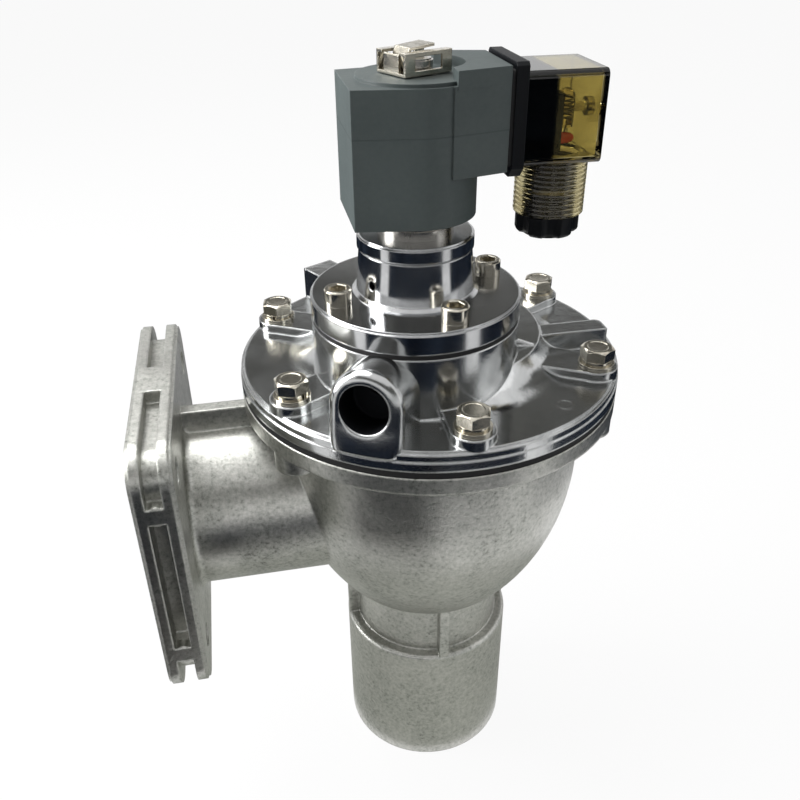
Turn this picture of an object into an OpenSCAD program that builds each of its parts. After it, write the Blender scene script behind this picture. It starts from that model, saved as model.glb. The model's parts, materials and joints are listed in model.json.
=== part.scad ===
// Right-angle pulse valve with a built-in two-stage pilot, flanged inlet and pipe-stub outlet.
// Millimetres. The origin is the middle of the outlet's cut end, +Z runs up the valve's axis,
// and the inlet flange looks along -X.

/* [Main casting] */
// Outer diameter of the cover and of the body's joint flange
cover_d = 134; // [130:1:142]
// Height of the joint face above the outlet's cut end
joint_z = 174.3; // [168:0.1:190]
// Thickness of the body's joint flange
body_flange_t = 6; // [5:0.5:9]
// Overhang of the joint flange beyond the bowl
flange_reach = 11; // [9.5:0.5:12]
// Wall of the bowl
bowl_wall = 5; // [4:0.5:6]
// Depth of the bowl's straight side below the joint face
bowl_straight = 29.3; // [26:0.1:34]
// Radius of the bowl's long side curve
bowl_side_r = 94.4; // [88:0.1:102]
// Slope at which the side curve passes into the bottom curve, in degrees
bowl_blend = 35.8; // [33:0.1:38]
// Radius of the bowl's bottom curve
bowl_round = 39.3; // [36:0.1:42]
// Outer diameter of the outlet's neck
neck_d = 59; // [57:0.5:62]
// Inner diameter of the neck and of the seat tube
throat_d = 51; // [46:0.5:52]
// Wall of the seat tube inside the bowl
seat_tube_wall = 4.5; // [3.5:0.5:6]
// Depth of the seat below the joint face
seat_drop = 4; // [3:0.5:6]

/* [Outlet] */
// Outer diameter of the outlet tail
tail_d = 67.6; // [66:0.1:74]
// Inner diameter of the outlet tail
tail_bore_d = 58; // [54:0.5:59]
// Length of the outlet tail up to its shoulder
tail_len = 60.2; // [50:0.1:66]
// Width of the neck's ribs
neck_rib_w = 4; // [3:0.5:6]

/* [Inlet] */
// Depth of the inlet pipe's axis below the joint face
inlet_drop = 45.1; // [42:0.1:48]
// Rise of the flange's middle above the pipe's axis
flange_rise = 2.4; // [0:0.1:3]
// Outer diameter of the inlet pipe
pipe_d = 62.4; // [60:0.2:66]
// Inner diameter of the inlet pipe
inlet_bore_d = 54; // [48:0.5:56]
// Distance of the flange's mounting face from the valve's axis
inlet_face_x = 103.3; // [98:0.1:112]
// Side of the square inlet flange
flange_side = 101; // [96:0.2:106]
// Thickness of the inlet flange
flange_t = 13.8; // [12:0.2:16]
// Corner radius of the inlet flange
flange_corner_r = 11.5; // [8:0.5:16]
// Spacing of the flange's bolt holes, both ways
flange_hole_pitch = 73; // [70:0.5:76]
// Diameter of the flange's bolt holes
flange_hole_d = 9.2; // [8.4:0.1:10.5]
// Width of the cored pocket in the flange's edge
pocket_w = 5.4; // [4:0.2:6.4]
// Depth of the cored pocket at the corners
pocket_corner_depth = 4.6; // [3:0.2:5.4]
// Depth of the long cored pocket at the sides
pocket_side_depth = 8; // [6:0.5:9]
// Middle diameter of the flange's O-ring
flange_ring_d = 71; // [66:0.5:74]
// Section diameter of the flange's O-ring
flange_ring_w = 4.4; // [3.6:0.2:5]

/* [Cover] */
// Thickness of the main diaphragm's clamped rim
diaphragm_t = 2.4; // [2:0.1:3.2]
// Thickness of the cover's outer rim
rim_t = 6.8; // [6:0.1:9]
// Width of the flat rim round the dome
rim_w = 16; // [14:0.5:18]
// Width of the dome's hollow side
dome_side_w = 12; // [10:0.5:14]
// Height of the dome above the rim
dome_h = 8.6; // [7:0.1:10]
// Width of the rim that clamps the main diaphragm
clamp_w = 20; // [19:0.5:22]
// Height of the chamber above the main diaphragm
cover_bore_h = 11.6; // [11.4:0.1:12.6]
// Distance of the cover bolts from the cover's edge
bolt_edge = 7.8; // [7:0.1:9]
// Height of the bolt pads above the cover's underside
pad_h = 10; // [9:0.5:12]
// Width of the bolt pads
pad_w = 14.6; // [13:0.2:15.4]
// Width of the long bar on the cover's inlet-far side
bar_w = 7.8; // [7:0.2:11]
// Width of the block behind the pilot stage
block_w = 13; // [10:0.5:14]

/* [Pilot stage] */
// Offset of the pilot stage from the valve's axis, towards the exhaust port
stage_off = 15.5; // [13:0.5:17]
// Direction of the exhaust port and of the pilot stage
port_angle = -120; // [-122:1:-118]
// Outer diameter of the pilot stage
stage_d = 68.6; // [67:0.1:72]
// Height of the pilot stage's joint face above the cover's underside
stage_h = 28; // [27.5:0.1:31]
// Diameter of the chamber under the pilot diaphragm
stage_bore_d = 42; // [40:0.5:44]
// Thickness of the floor between the two chambers
stage_floor_t = 3.3; // [3:0.1:4]
// Thickness of the pilot diaphragm
pilot_diaphragm_t = 1.6; // [1.4:0.1:2.4]
// Thickness of the pilot cover's disc
pilot_cover_t = 7.1; // [7:0.1:9]
// Diameter of the tower at its foot
tower_foot_d = 38.6; // [37:0.1:41]
// Diameter of the tower below its collar
tower_waist_d = 36.1; // [35:0.1:38]
// Diameter of the tower's collar
collar_d = 37.2; // [36.5:0.1:40]
// Height of the tower above the pilot cover's disc
tower_h = 19.8; // [18:0.1:24]
// Height of the collar at the tower's top
collar_h = 4.6; // [3.5:0.1:6]
// Diameter of the vent hole in the tower's side
vent_d = 3; // [2:0.1:3.6]
// Radius of the circle that the pilot cover's screws stand on
screw_r = 27; // [26:0.1:28]

/* [Exhaust port] */
// Diameter of the exhaust port
port_d = 15.6; // [14:0.1:17]
// Depth of the exhaust port
port_depth = 11.6; // [10:0.2:12]
// Width of the exhaust port's boss
port_boss_w = 20.6; // [20:0.2:25]
// Height of the port's face middle above the cover's underside
port_h = 18.5; // [17.5:0.1:19]
// Distance of the port's face middle inside the cover's edge
port_inset = 2.4; // [1.5:0.1:4]
// Upward tilt of the port, in degrees
port_tilt = 7; // [4:0.5:9]
// Radius of the rounding round the port's face
port_edge_r = 2.2; // [1:0.1:3]

/* [Fasteners] */
// Nominal diameter of the cover bolts
bolt_d = 6; // [5:0.5:6]
// Width across flats of the cover bolts' heads
bolt_af = 10; // [9:0.5:11]
// Height of the cover bolts' heads
bolt_head_h = 4; // [3.5:0.1:5]
// Thickness of the flat washers
flat_washer_t = 1.2; // [0.8:0.1:1.6]
// Thickness of the spring washers
spring_washer_t = 1.4; // [1:0.1:1.8]
// Nominal diameter of the pilot cover's socket screws
socket_d = 5; // [4:0.5:5]
// Diameter of the socket screws' heads
socket_head_d = 8.7; // [8:0.1:9.5]
// Height of the socket screws' heads
socket_head_h = 5; // [4:0.1:6]

/* [Moving inner parts] */
// Stroke of the main diaphragm
main_lift = 6; // [4:0.5:6]
// Stroke of the pilot diaphragm
pilot_lift = 2.4; // [1.5:0.1:2.4]
// Stroke of the solenoid plunger
plunger_lift = 1.8; // [1.2:0.1:2.2]
// Diameter of the solenoid plunger
plunger_d = 10; // [9:0.1:10.4]
// Length of the solenoid plunger
plunger_len = 28; // [24:0.5:32]

/* [Coil] */
// Outer diameter of the plunger tube
tube_d = 13.6; // [13:0.1:14]
// Gap between the collar and the coil's underside
coil_gap = 6; // [5.4:0.1:8]
// Height of the moulded coil
coil_h = 39.4; // [36:0.2:44]
// Distance of the coil's flat end from the tube's axis
coil_back = 21.3; // [20:0.1:24]
// Width of the coil's flat end
coil_back_w = 31.4; // [29:0.2:34]
// Diameter of the coil's rounded part
coil_round_d = 37.4; // [36:0.2:39]
// Distance of the connector face from the tube's axis
arm_len = 24.5; // [23:0.1:27]
// Width of the coil's connector arm at its end
arm_w = 27; // [26:0.2:29]
// Height of the arm's underside above the coil's underside
arm_low = 14; // [12:0.2:16]
// Rise of the arm's top above the coil's top
arm_rise = 4; // [2.5:0.1:5]
// Diameter of the raised disc on the coil's top
coil_disc_d = 35; // [32:0.5:36]
// Height of the raised disc on the coil's top
coil_disc_h = 1; // [0.6:0.1:1.4]
// Radius of the round notch in the arm that leaves room for the clip
arm_notch_r = 14.2; // [13.5:0.1:15]

/* [Clip] */
// Thickness of the clip's sheet
clip_t = 0.8; // [0.6:0.1:1]
// Length of the clip's base
clip_len = 16.4; // [15.6:0.2:19]
// Width of the clip's base
clip_w = 13.6; // [13:0.2:15]
// Height of the clip's folded walls
clip_wall_h = 5.4; // [4:0.2:6]
// Turn of the clip about the tube's axis
clip_turn = 25; // [15:1:35]

/* [Connector] */
// Thickness of the connector's gasket
gasket_t = 1.1; // [0.8:0.1:2]
// Thickness of the connector's base plate
base_t = 3.7; // [3:0.1:5]
// Height of the connector's base plate
base_h = 32.4; // [30:0.2:34]
// Width of the connector's base plate
base_w = 28; // [27:0.2:30]
// Length of the connector's housing
housing_len = 24; // [22:0.2:26]
// Height of the connector's housing
housing_h = 26.6; // [25.6:0.2:28]
// Wall of the connector's housing
housing_wall = 1.6; // [1.2:0.1:2]
// Corner radius of the connector's housing
housing_corner_r = 2; // [1.4:0.1:3]
// Outer diameter of the gland barrel
barrel_d = 22.2; // [21:0.1:22.4]
// Length of the gland barrel
barrel_len = 17.4; // [16:0.2:19]
// Inner diameter of the gland barrel
barrel_bore_d = 16.2; // [15.6:0.1:16.6]
// Outer diameter of the gland nut's head
nut_d = 20.2; // [19.6:0.1:20.8]
// Height of the gland nut's head
nut_h = 7.4; // [6.5:0.1:9]
// Diameter of the cable's way through the gland nut
cable_d = 10; // [8:0.1:10.5]
// Number of grip lobes on the gland nut
nut_lobes = 6; // [6:1:10]

/* [Hidden] */
$fn = 64;
eps = 0.01;
// Running gap between a moving piece and a fixed one
run_gap = 0.3;
// Running clearance of a round piece in its bore, on the radius
turn_gap = 0.08;
// Gap between a rubber face and the seat that it closes
seat_gap = 0.2;
// Clearance of a hole round a bolt, on the radius
bolt_gap = 0.4;
// Slip clearance between two round pieces of one body, on the radius
slip_gap = 0.1;

cover_r = cover_d / 2;
bowl_r = cover_r - flange_reach;
bowl_z = joint_z - bowl_straight;
// Middle of the side curve and of the bottom curve, which touch at the blend slope
side_x = bowl_r - bowl_side_r;
round_x = side_x + (bowl_side_r - bowl_round) * cos(bowl_blend);
round_z = bowl_z - (bowl_side_r - bowl_round) * sin(bowl_blend);
seat_z = joint_z - seat_drop;
throat_r = throat_d / 2;
seat_tube_r = throat_r + seat_tube_wall;
tail_r = tail_d / 2;
tail_lip_r = 1.6;
neck_r = neck_d / 2;
neck_top = round_z - sqrt(pow(bowl_round, 2) - pow(neck_r - round_x, 2));
rib_top = round_z - sqrt(pow(bowl_round, 2) - pow(tail_r - round_x, 2));
bore_step_z = tail_len - 9;
bore_cone_h = 7;
bolt_count = 6;
bolt_angles = [for (i = [0 : bolt_count - 1]) -90 + i * 360 / bolt_count];
bolt_r = cover_r - bolt_edge;
lug_r = bolt_edge - 0.3;
lug_h = body_flange_t + 7.5;
lug_angles = [-150, -30, 30, 150];
tap_r = bolt_d / 2 - 0.5;
tap_depth = lug_h - 1.5;
tap_short = body_flange_t - 0.6;
skirt_h = 5;

inlet_z = joint_z - inlet_drop;
flange_z = inlet_z + flange_rise;
flange_in_x = inlet_face_x - flange_t;
hole_off = flange_hole_pitch / 2;
flange_edge = 0.9;
side_web_w = 6;
side_web_off = 30;
web_mark_d = 7;
web_mark_h = 4;
top_web_w = 17;
pipe_rib_w = 5.2;
pipe_rib_top = joint_z - body_flange_t + 0.3;
pipe_end = seat_tube_r + 5;
collar_ring_w = 2.4;

cover_z = joint_z + diaphragm_t;
rim_top = cover_z + rim_t;
dome_top = rim_top + dome_h;
ceiling_z = cover_z + cover_bore_h;
pad_top = cover_z + pad_h;
clamp_r = cover_r - clamp_w;
dome_r = cover_r - rim_w;
dome_top_r = dome_r - dome_side_w;
rim_step = 3.4;
cavity_step = 5;
dome_wall = 3;
port_face = cover_r - port_inset;
bar_end = 5;
block_angle = 120;
block_end = 1;
block_rise = 3.4;
bar_y = -9;
bar_top = dome_top - 1.4;
bar_round = 2.4;
gusset_angle = -12;
gusset_w = 2;
gusset_len = 7;
gusset_h = 3;

stage_x = stage_off * cos(port_angle);
stage_y = stage_off * sin(port_angle);
stage_z = cover_z + stage_h;
stage_floor = ceiling_z + stage_floor_t;
stage_seat_z = stage_z - 2;
stage_throat_r = 8;
stage_tube_r = stage_throat_r + 3;
stage_bore_r = stage_bore_d / 2;
pilot_cover_z = stage_z + pilot_diaphragm_t;
pilot_disc_top = pilot_cover_z + pilot_cover_t;
tower_top = pilot_disc_top + tower_h;
screw_turn = 14;
screw_tap = 12;
screw_angles = [for (i = [0 : 3]) screw_turn + 90 * i];
pilot_pocket_r = 10;
pilot_pocket_top = pilot_disc_top + 1.6;
pilot_cavity_top = pilot_cover_z + 4.9;
orifice_r = 1.2;
bush_r = 3.6;
bush_top = pilot_pocket_top + 3.4;
spigot_r = 9;
spigot_hole_z = pilot_pocket_top + 2.6;
spigot_z = spigot_hole_z + 6;
vent_angle = -148;
vent_z = spigot_hole_z + vent_d / 2 + 0.4;
port_z = cover_z + port_h;
passage_r = 3.2;
passage_rise = 3.8;

plate_t = 3;
main_hole_r = 5;
hub_head_r = 9;
hub_head_h = 2;
main_pad_r = seat_tube_r + 3;
main_roll_w = 14;
main_roll_gap = 1;
main_plate_r = clamp_r - main_roll_w;
hub_nut_h = 6;
hub_cone_h = 3;
hub_screw_out = 8;
bleed_r = 1;
bleed_off = 22;
main_spring_r0 = 14;
main_spring_r1 = 25;
main_spring_wire = 1.5;
main_roll_mid = (clamp_r + main_plate_r + main_roll_gap) / 2;
main_roll_r = (main_roll_w - main_roll_gap) / 2;
pilot_plate_r = 14;
pilot_plate_t = 1.8;
pilot_hole_r = 2.6;
pilot_head_r = 5;
pilot_head_h = 1.2;
pilot_roll_gap = 0.6;
pilot_roll_mid = (stage_bore_r + pilot_plate_r + pilot_roll_gap) / 2;
pilot_roll_r = (stage_bore_r - pilot_plate_r - pilot_roll_gap) / 2;

pilot_spring_r = 7.2;
pilot_spring_wire = 1;
plunger_spring_r = 2.5;
plunger_spring_wire = 0.6;

nut_base_r = 12;
nut_base_h = 3.4;
tube_r = tube_d / 2;
tube_in_r = plunger_d / 2 + turn_gap;
plunger_z = bush_top + seat_gap;
plunger_seal_h = 3;
core_z = plunger_z + plunger_len + plunger_lift;
coil_z = tower_top + coil_gap;
coil_top = coil_z + coil_h;
disc_top = coil_top + coil_disc_h;
clip_z = disc_top + run_gap;
head_r = tube_r - 1.8;
groove_r = head_r - 1.2;
tube_top = clip_z + clip_t + 3;
core_top = coil_top - 4;
clip_shift = 0.5;
clip_post_w = 3.4;
clip_fold_w = 2.6;
tongue_w = 7;
spring_pocket_r = 3.2;
spring_pocket_depth = 9;
coil_round_r = coil_round_d / 2;
arm_top = coil_top + arm_rise;
arm_z = coil_z + arm_low;
arm_mid_z = (arm_z + arm_top) / 2;

gasket_x = arm_len;
base_x = gasket_x + gasket_t;
housing_x = base_x + base_t;
housing_end = housing_x + housing_len;
barrel_out = 1;
barrel_x = housing_end - barrel_d / 2 + barrel_out;
base_drop = 0.6;
housing_z = arm_mid_z - housing_h / 2 - 0.5;
barrel_z = housing_z - barrel_len;
nut_z = barrel_z - nut_h;
term_len = 8.6;
term_w = 23;
term_h = 20;
term_step = 3;
term_drop = 3.6;
term_z = housing_z + housing_wall + 2.2;
lamp_r = 2.6;
lamp_h = 8.4;
led_r = 1.3;
resistor_r = 1.2;
screw_core_r = 1.5;
screw_in = 7;
gland_thread_h = 7;
lobe_r = 3;
gland_washer_t = 1;

cast_col = [0.66, 0.67, 0.65];
bright_col = [0.78, 0.79, 0.80];
rubber_col = [0.07, 0.07, 0.075];
nickel_col = [0.80, 0.78, 0.72];
coil_col = [0.30, 0.35, 0.36];
amber_col = [0.72, 0.55, 0.20, 0.6];
black_col = [0.08, 0.085, 0.09];
brass_col = [0.80, 0.64, 0.32];

module at_bolts() {
    for (a = bolt_angles) rotate([0, 0, a]) translate([bolt_r, 0, 0]) children();
}

module at_lugs() {
    for (a = lug_angles) rotate([0, 0, a]) translate([bolt_r, 0, 0]) children();
}

module at_stage() {
    translate([stage_x, stage_y, 0]) children();
}

module at_screws() {
    at_stage() for (a = screw_angles) rotate([0, 0, a]) translate([screw_r, 0, 0]) children();
}

// A rod from z0 to z1
module rod(r, z0, z1) {
    translate([0, 0, z0]) cylinder(r = r, h = z1 - z0);
}

// A ring from z0 to z1
module ring(r_out, r_in, z0, z1) {
    difference() {
        rod(r_out, z0, z1);
        rod(r_in, z0 - 1, z1 + 1);
    }
}

// A rod along +X from x0 to x1, at height z
module rod_x(r, x0, x1, z) {
    translate([x0, 0, z]) rotate([0, 90, 0]) cylinder(r = r, h = x1 - x0);
}

// A flat outline with four round corners, centred
module round_square(w, h, r) {
    square([w - 2 * r, h], center = true);
    square([w, h - 2 * r], center = true);
    for (sx = [-1, 1], sy = [-1, 1]) translate([sx * (w / 2 - r), sy * (h / 2 - r)]) circle(r = r);
}

// A plate that lies in the YZ plane, from x0 to x1, centred on y = 0 and height z
module plate_x(w, h, r, x0, x1, z) {
    translate([x0, 0, z]) rotate([90, 0, 90]) linear_extrude(x1 - x0) round_square(w, h, r);
}

// Radius and height of a coil spring's wire centre, t turns from its lower end
function spring_r(t, turns, r0, r1) = r0 + (r1 - r0) * t / turns;
function spring_z(t, turns, z0, z1) = z0 + (z1 - z0) * min(1, max(0, (t - 0.75) / (turns - 1.5)));

// A coil spring with one closed turn at each end: a small round section swept along a helix
module coil_spring(r0, r1, wire, z0, z1, turns, steps, sides) {
    n = turns * steps;
    pts = [for (i = [0 : n], k = [0 : sides - 1])
        let (t = i / steps, a = 360 * t, b = 360 * k / sides,
             r = spring_r(t, turns, r0, r1) + wire / 2 * cos(b),
             lay = wire * 1.02 * (t < 0.75 ? t : t > turns - 0.75 ? t - turns : 0),
             z = spring_z(t, turns, z0 + wire * 1.3, z1 - wire * 1.3)
                 + (t < 0.75 ? lay - wire * 0.78 : t > turns - 0.75 ? lay + wire * 0.78 : 0)
                 + wire / 2 * sin(b))
        [r * cos(a), r * sin(a), z]];
    sides_f = [for (i = [0 : n - 1], k = [0 : sides - 1])
        let (k2 = (k + 1) % sides)
        [i * sides + k, i * sides + k2, (i + 1) * sides + k2, (i + 1) * sides + k]];
    cap0 = [[for (k = [sides - 1 : -1 : 0]) k]];
    cap1 = [[for (k = [0 : sides - 1]) n * sides + k]];
    polyhedron(points = pts, faces = concat(sides_f, cap0, cap1), convexity = 10);
}

// Half section of the bowl, taken in from its outside by inset
module bowl_section(inset) {
    touch_z = round_z - (bowl_round - inset) * sin(bowl_blend);
    intersection() {
        union() {
            translate([round_x, round_z]) circle(r = bowl_round - inset);
            intersection() {
                translate([side_x, bowl_z]) circle(r = bowl_side_r - inset);
                translate([0, touch_z]) square([bowl_r, bowl_z - touch_z + eps]);
            }
            translate([0, bowl_z]) square([bowl_r - inset, joint_z - bowl_z]);
            translate([0, round_z - bowl_round + inset]) square([round_x, bowl_round - inset]);
        }
        square([bowl_r + 1, joint_z]);
    }
}

// Half section of the outlet: a tail with a rounded shoulder, and a thinner neck
module outlet_section() {
    square([neck_r, neck_top + 1]);
    square([tail_r, tail_len - tail_lip_r]);
    square([tail_r - tail_lip_r, tail_len]);
    translate([tail_r - tail_lip_r, tail_len - tail_lip_r]) circle(r = tail_lip_r);
}

// Square inlet flange with cored pockets in its edge
module inlet_flange() {
    mid_x = -(inlet_face_x + flange_in_x) / 2;
    small = flange_side - 2 * flange_edge;
    difference() {
        union() {
            plate_x(flange_side, flange_side, flange_corner_r, -inlet_face_x + flange_edge,
                -flange_in_x - flange_edge, flange_z);
            plate_x(small, small, flange_corner_r - flange_edge, -inlet_face_x, -flange_in_x, flange_z);
        }
        difference() {
            plate_x(flange_side + 2, flange_side + 2, flange_corner_r + 1,
                mid_x - pocket_w / 2, mid_x + pocket_w / 2, flange_z);
            flange_core(mid_x);
        }
    }
}

// What the pockets leave standing: the flange's middle, two webs at each side and a wide web at
// the top and the bottom
module flange_core(mid_x) {
    deep = flange_side - 2 * pocket_corner_depth;
    x0 = mid_x - pocket_w;
    x1 = mid_x + pocket_w;
    difference() {
        plate_x(deep, deep, flange_corner_r - pocket_corner_depth / 2, x0, x1, flange_z);
        for (s = [-1, 1]) translate([x0 - 1, s * flange_side / 2, flange_z])
            translate([0, -pocket_side_depth, -side_web_off + side_web_w / 2])
                cube([2 * pocket_w + 2, 2 * pocket_side_depth, 2 * side_web_off - side_web_w]);
    }
    for (s = [-1, 1]) {
        translate([x0, -flange_side, flange_z + s * side_web_off - side_web_w / 2])
            cube([2 * pocket_w, 2 * flange_side, side_web_w]);
        // Round mark that the mould's pin leaves on each side web
        for (t = [-1, 1])
            translate([mid_x, s * (flange_side / 2 - web_mark_h), flange_z + t * side_web_off])
                rotate([s * -90, 0, 0]) cylinder(d = web_mark_d, h = web_mark_h - 0.3);
    }
    translate([x0, -top_web_w / 2, flange_z - flange_side])
        cube([2 * pocket_w, top_web_w, 2 * flange_side]);
}

// Collar that blends the inlet pipe into its flange
module pipe_collar() {
    translate([-flange_in_x, 0, inlet_z]) rotate([0, 90, 0]) rotate_extrude() {
        difference() {
            square([pipe_d / 2 + collar_ring_w, collar_ring_w]);
            translate([pipe_d / 2 + collar_ring_w, collar_ring_w]) circle(r = collar_ring_w);
        }
    }
}

// Hollow fillet between the bowl's wall and the underside of the joint flange
module body_skirt() {
    translate([0, 0, joint_z - body_flange_t - skirt_h]) rotate_extrude() difference() {
        translate([bowl_r - 1, 0]) square([skirt_h + 1, skirt_h + eps]);
        translate([bowl_r + skirt_h, 0]) circle(r = skirt_h + 0.1);
    }
}

module body_casting() {
    color(cast_col) difference() {
        union() {
            rotate_extrude() bowl_section(0);
            rotate_extrude() outlet_section();
            for (a = [0 : 90 : 270]) rotate([0, 0, a])
                translate([0, -neck_rib_w / 2, tail_len - 2 * tail_lip_r])
                    cube([tail_r - 0.2, neck_rib_w, rib_top - tail_len + 2 * tail_lip_r + 1.5]);
            rod(cover_r, joint_z - body_flange_t, joint_z);
            body_skirt();
            at_lugs() rod(lug_r, joint_z - lug_h, joint_z - body_flange_t + eps);
            at_lugs() translate([-lug_r, -lug_r, joint_z - lug_h + 3])
                cube([lug_r, 2 * lug_r, lug_h - body_flange_t - 3 + eps]);
            rod_x(pipe_d / 2, -flange_in_x - 1, -pipe_end, inlet_z);
            translate([-flange_in_x - 1, -pipe_rib_w / 2, inlet_z])
                cube([flange_in_x - bowl_r + 4, pipe_rib_w, pipe_rib_top - inlet_z]);
            pipe_collar();
            inlet_flange();
        }
        // Ring-shaped inlet chamber between the bowl's wall and the seat tube
        rotate_extrude() difference() {
            bowl_section(bowl_wall);
            square([seat_tube_r, joint_z]);
        }
        ring(bowl_r - bowl_wall, seat_tube_r, joint_z - 1, joint_z + 1);
        rod(seat_tube_r + 1, seat_z, joint_z + 1);
        // Outlet bore: wide in the tail, then a cone up to the throat
        rod(tail_bore_d / 2, -1, bore_step_z);
        translate([0, 0, bore_step_z - eps])
            cylinder(r1 = tail_bore_d / 2, r2 = throat_r, h = bore_cone_h);
        rod(throat_r, bore_step_z + bore_cone_h - 2 * eps, seat_z + 1);
        // Inlet bore, its O-ring groove and its bolt holes
        rod_x(inlet_bore_d / 2, -inlet_face_x - 1, -pipe_end, inlet_z);
        translate([-inlet_face_x - 1, 0, inlet_z]) rotate([0, 90, 0])
            ring(flange_ring_d / 2 + flange_ring_w / 2 + 0.1,
                flange_ring_d / 2 - flange_ring_w / 2 - 0.1, 0, 1 + flange_ring_w * 0.72);
        for (sy = [-1, 1], sz = [-1, 1]) translate([0, sy * hole_off, 0])
            rod_x(flange_hole_d / 2, -inlet_face_x - 1, -flange_in_x + 1, flange_z + sz * hole_off);
        at_bolts() rod(tap_r, joint_z - tap_short, joint_z + 1);
        at_lugs() rod(tap_r, joint_z - tap_depth, joint_z + 1);
    }
}

module flange_o_ring() {
    color(rubber_col)
        translate([-inlet_face_x + flange_ring_w * 0.72 - flange_ring_w / 2, 0, inlet_z])
            rotate([0, 90, 0]) rotate_extrude()
                translate([flange_ring_d / 2, 0]) circle(d = flange_ring_w);
}

// Half section of a rubber diaphragm: clamped rim, one upward roll and a flat middle
module diaphragm_section(r_out, r_clamp, r_plate, r_hole, t, roll_mid, roll_r) {
    translate([r_clamp, 0]) square([r_out - r_clamp, t]);
    translate([r_hole, 0]) square([roll_mid - roll_r - r_hole, t]);
    translate([roll_mid, 0]) intersection() {
        difference() {
            circle(r = roll_r);
            circle(r = roll_r - t * 0.8);
        }
        translate([-roll_r, 0]) square([2 * roll_r, roll_r]);
    }
    translate([roll_mid - roll_r - 0.4, 0]) square([0.4 + t * 0.8, t]);
    translate([roll_mid + roll_r - t * 0.8, 0]) square([0.4 + t * 0.8, t]);
}

module main_diaphragm() {
    color(rubber_col) difference() {
        translate([0, 0, joint_z]) rotate_extrude()
            diaphragm_section(cover_r - 0.3, clamp_r, main_plate_r, main_hole_r, diaphragm_t,
                main_roll_mid, main_roll_r);
        at_bolts() rod(bolt_d / 2 + bolt_gap, joint_z - 1, cover_z + 1);
    }
}

module main_seat_pad() {
    color(rubber_col) difference() {
        rod(main_pad_r, seat_z + seat_gap, joint_z);
        rod(main_hole_r, seat_z - 1, joint_z + 1);
    }
}

module main_lower_plate() {
    color(bright_col) difference() {
        union() {
            rod(throat_r - 3, seat_z + seat_gap - plate_t, seat_z + seat_gap);
            translate([0, 0, seat_z + seat_gap - plate_t - hub_cone_h])
                cylinder(r1 = hub_head_r + 2, r2 = throat_r - 5, h = hub_cone_h);
        }
        rod(main_hole_r, seat_z - plate_t - hub_cone_h - 1, joint_z);
    }
}

module main_upper_plate() {
    color(bright_col) difference() {
        union() {
            rod(main_plate_r, cover_z, cover_z + plate_t - 1);
            rod(main_plate_r - 1.2, cover_z, cover_z + plate_t);
        }
        rod(main_hole_r, cover_z - 1, cover_z + plate_t + 1);
        // Bleed hole
        rotate([0, 0, 60]) translate([bleed_off, 0, 0]) rod(bleed_r, cover_z - 1, cover_z + plate_t + 1);
    }
}

module main_hub_screw() {
    color(nickel_col) {
        rod(main_hole_r - slip_gap, seat_z + seat_gap - plate_t - hub_cone_h - hub_screw_out,
            cover_z + plate_t + eps);
        difference() {
            rod(hub_head_r, cover_z + plate_t, cover_z + plate_t + hub_head_h);
            translate([0, 0, cover_z + plate_t + 0.8]) cylinder(d = 6.9, h = 2, $fn = 6);
        }
    }
}

module main_hub_nut() {
    z1 = seat_z + seat_gap - plate_t - hub_cone_h;
    color(nickel_col) difference() {
        translate([0, 0, z1 - hub_nut_h]) cylinder(r = hub_head_r, h = hub_nut_h, $fn = 6);
        rod(main_hole_r - slip_gap / 2, z1 - hub_nut_h - 1, z1 + 1);
    }
}

module main_spring() {
    color(nickel_col) coil_spring(main_spring_r0, main_spring_r1, main_spring_wire,
        cover_z + plate_t + 0.1, ceiling_z - 0.1, 4, 26, 8);
}

// Raised seat for one cover bolt, with a web that runs in to the dome
module bolt_pad() {
    rod(pad_w / 2, rim_top - 1, pad_top);
    translate([dome_top_r - bolt_r - 6, -pad_w / 2 + 0.3, rim_top - 1])
        cube([bolt_r - dome_top_r + 6, pad_w - 0.6, pad_top - rim_top + 1]);
}

// Half section of the cover's dome: a flat top and a hollow side that runs out into the rim
module dome_section() {
    hollow_r = (pow(dome_side_w, 2) + pow(dome_h, 2)) / (2 * dome_h);
    difference() {
        square([dome_r, dome_top]);
        translate([dome_r, rim_top + hollow_r - 0.05]) circle(r = hollow_r);
    }
}

// Frame of the exhaust port: its origin is the middle of the face, +X looks out of the port
module at_port() {
    rotate([0, 0, port_angle]) translate([port_face, 0, port_z]) rotate([0, -port_tilt, 0]) children();
}

// Arched boss of the exhaust port with a rounded edge round its face
module port_boss() {
    r = port_boss_w / 2;
    e = port_edge_r;
    len = port_face - stage_off;
    at_port() {
        rotate([0, -90, 0]) rotate_extrude() {
            translate([0, e]) square([r, len - e]);
            square([r - e, len]);
            translate([r - e, e]) circle(r = e);
        }
        translate([0, 0, -port_h - 2]) linear_extrude(port_h + 2) {
            translate([-len, -r]) square([len - e, 2 * r]);
            translate([-len, -r + e]) square([len, 2 * (r - e)]);
            for (t = [-1, 1]) translate([-e, t * (r - e)]) circle(r = e);
        }
    }
}

// Block on the dome that runs out from the middle, turned by a, from radius r0 to r1
module cover_block(a, r0, r1, w, top) {
    rotate([0, 0, a]) translate([r0, -w / 2, rim_top - 1]) cube([r1 - r0, w, top - rim_top + 1]);
}

// Long bar that runs out over the dome, parallel to the inlet pipe
module cover_bar() {
    translate([dome_top_r - 8, bar_y - bar_w / 2, rim_top - 1]) {
        cube([cover_r - bar_end - dome_top_r + 8 - bar_round, bar_w, bar_top - rim_top + 1]);
        cube([cover_r - bar_end - dome_top_r + 8, bar_w - bar_round, bar_top - rim_top + 1]);
        translate([cover_r - bar_end - dome_top_r + 8 - bar_round, bar_w - bar_round, 0])
            cylinder(r = bar_round, h = bar_top - rim_top + 1);
    }
}

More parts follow.
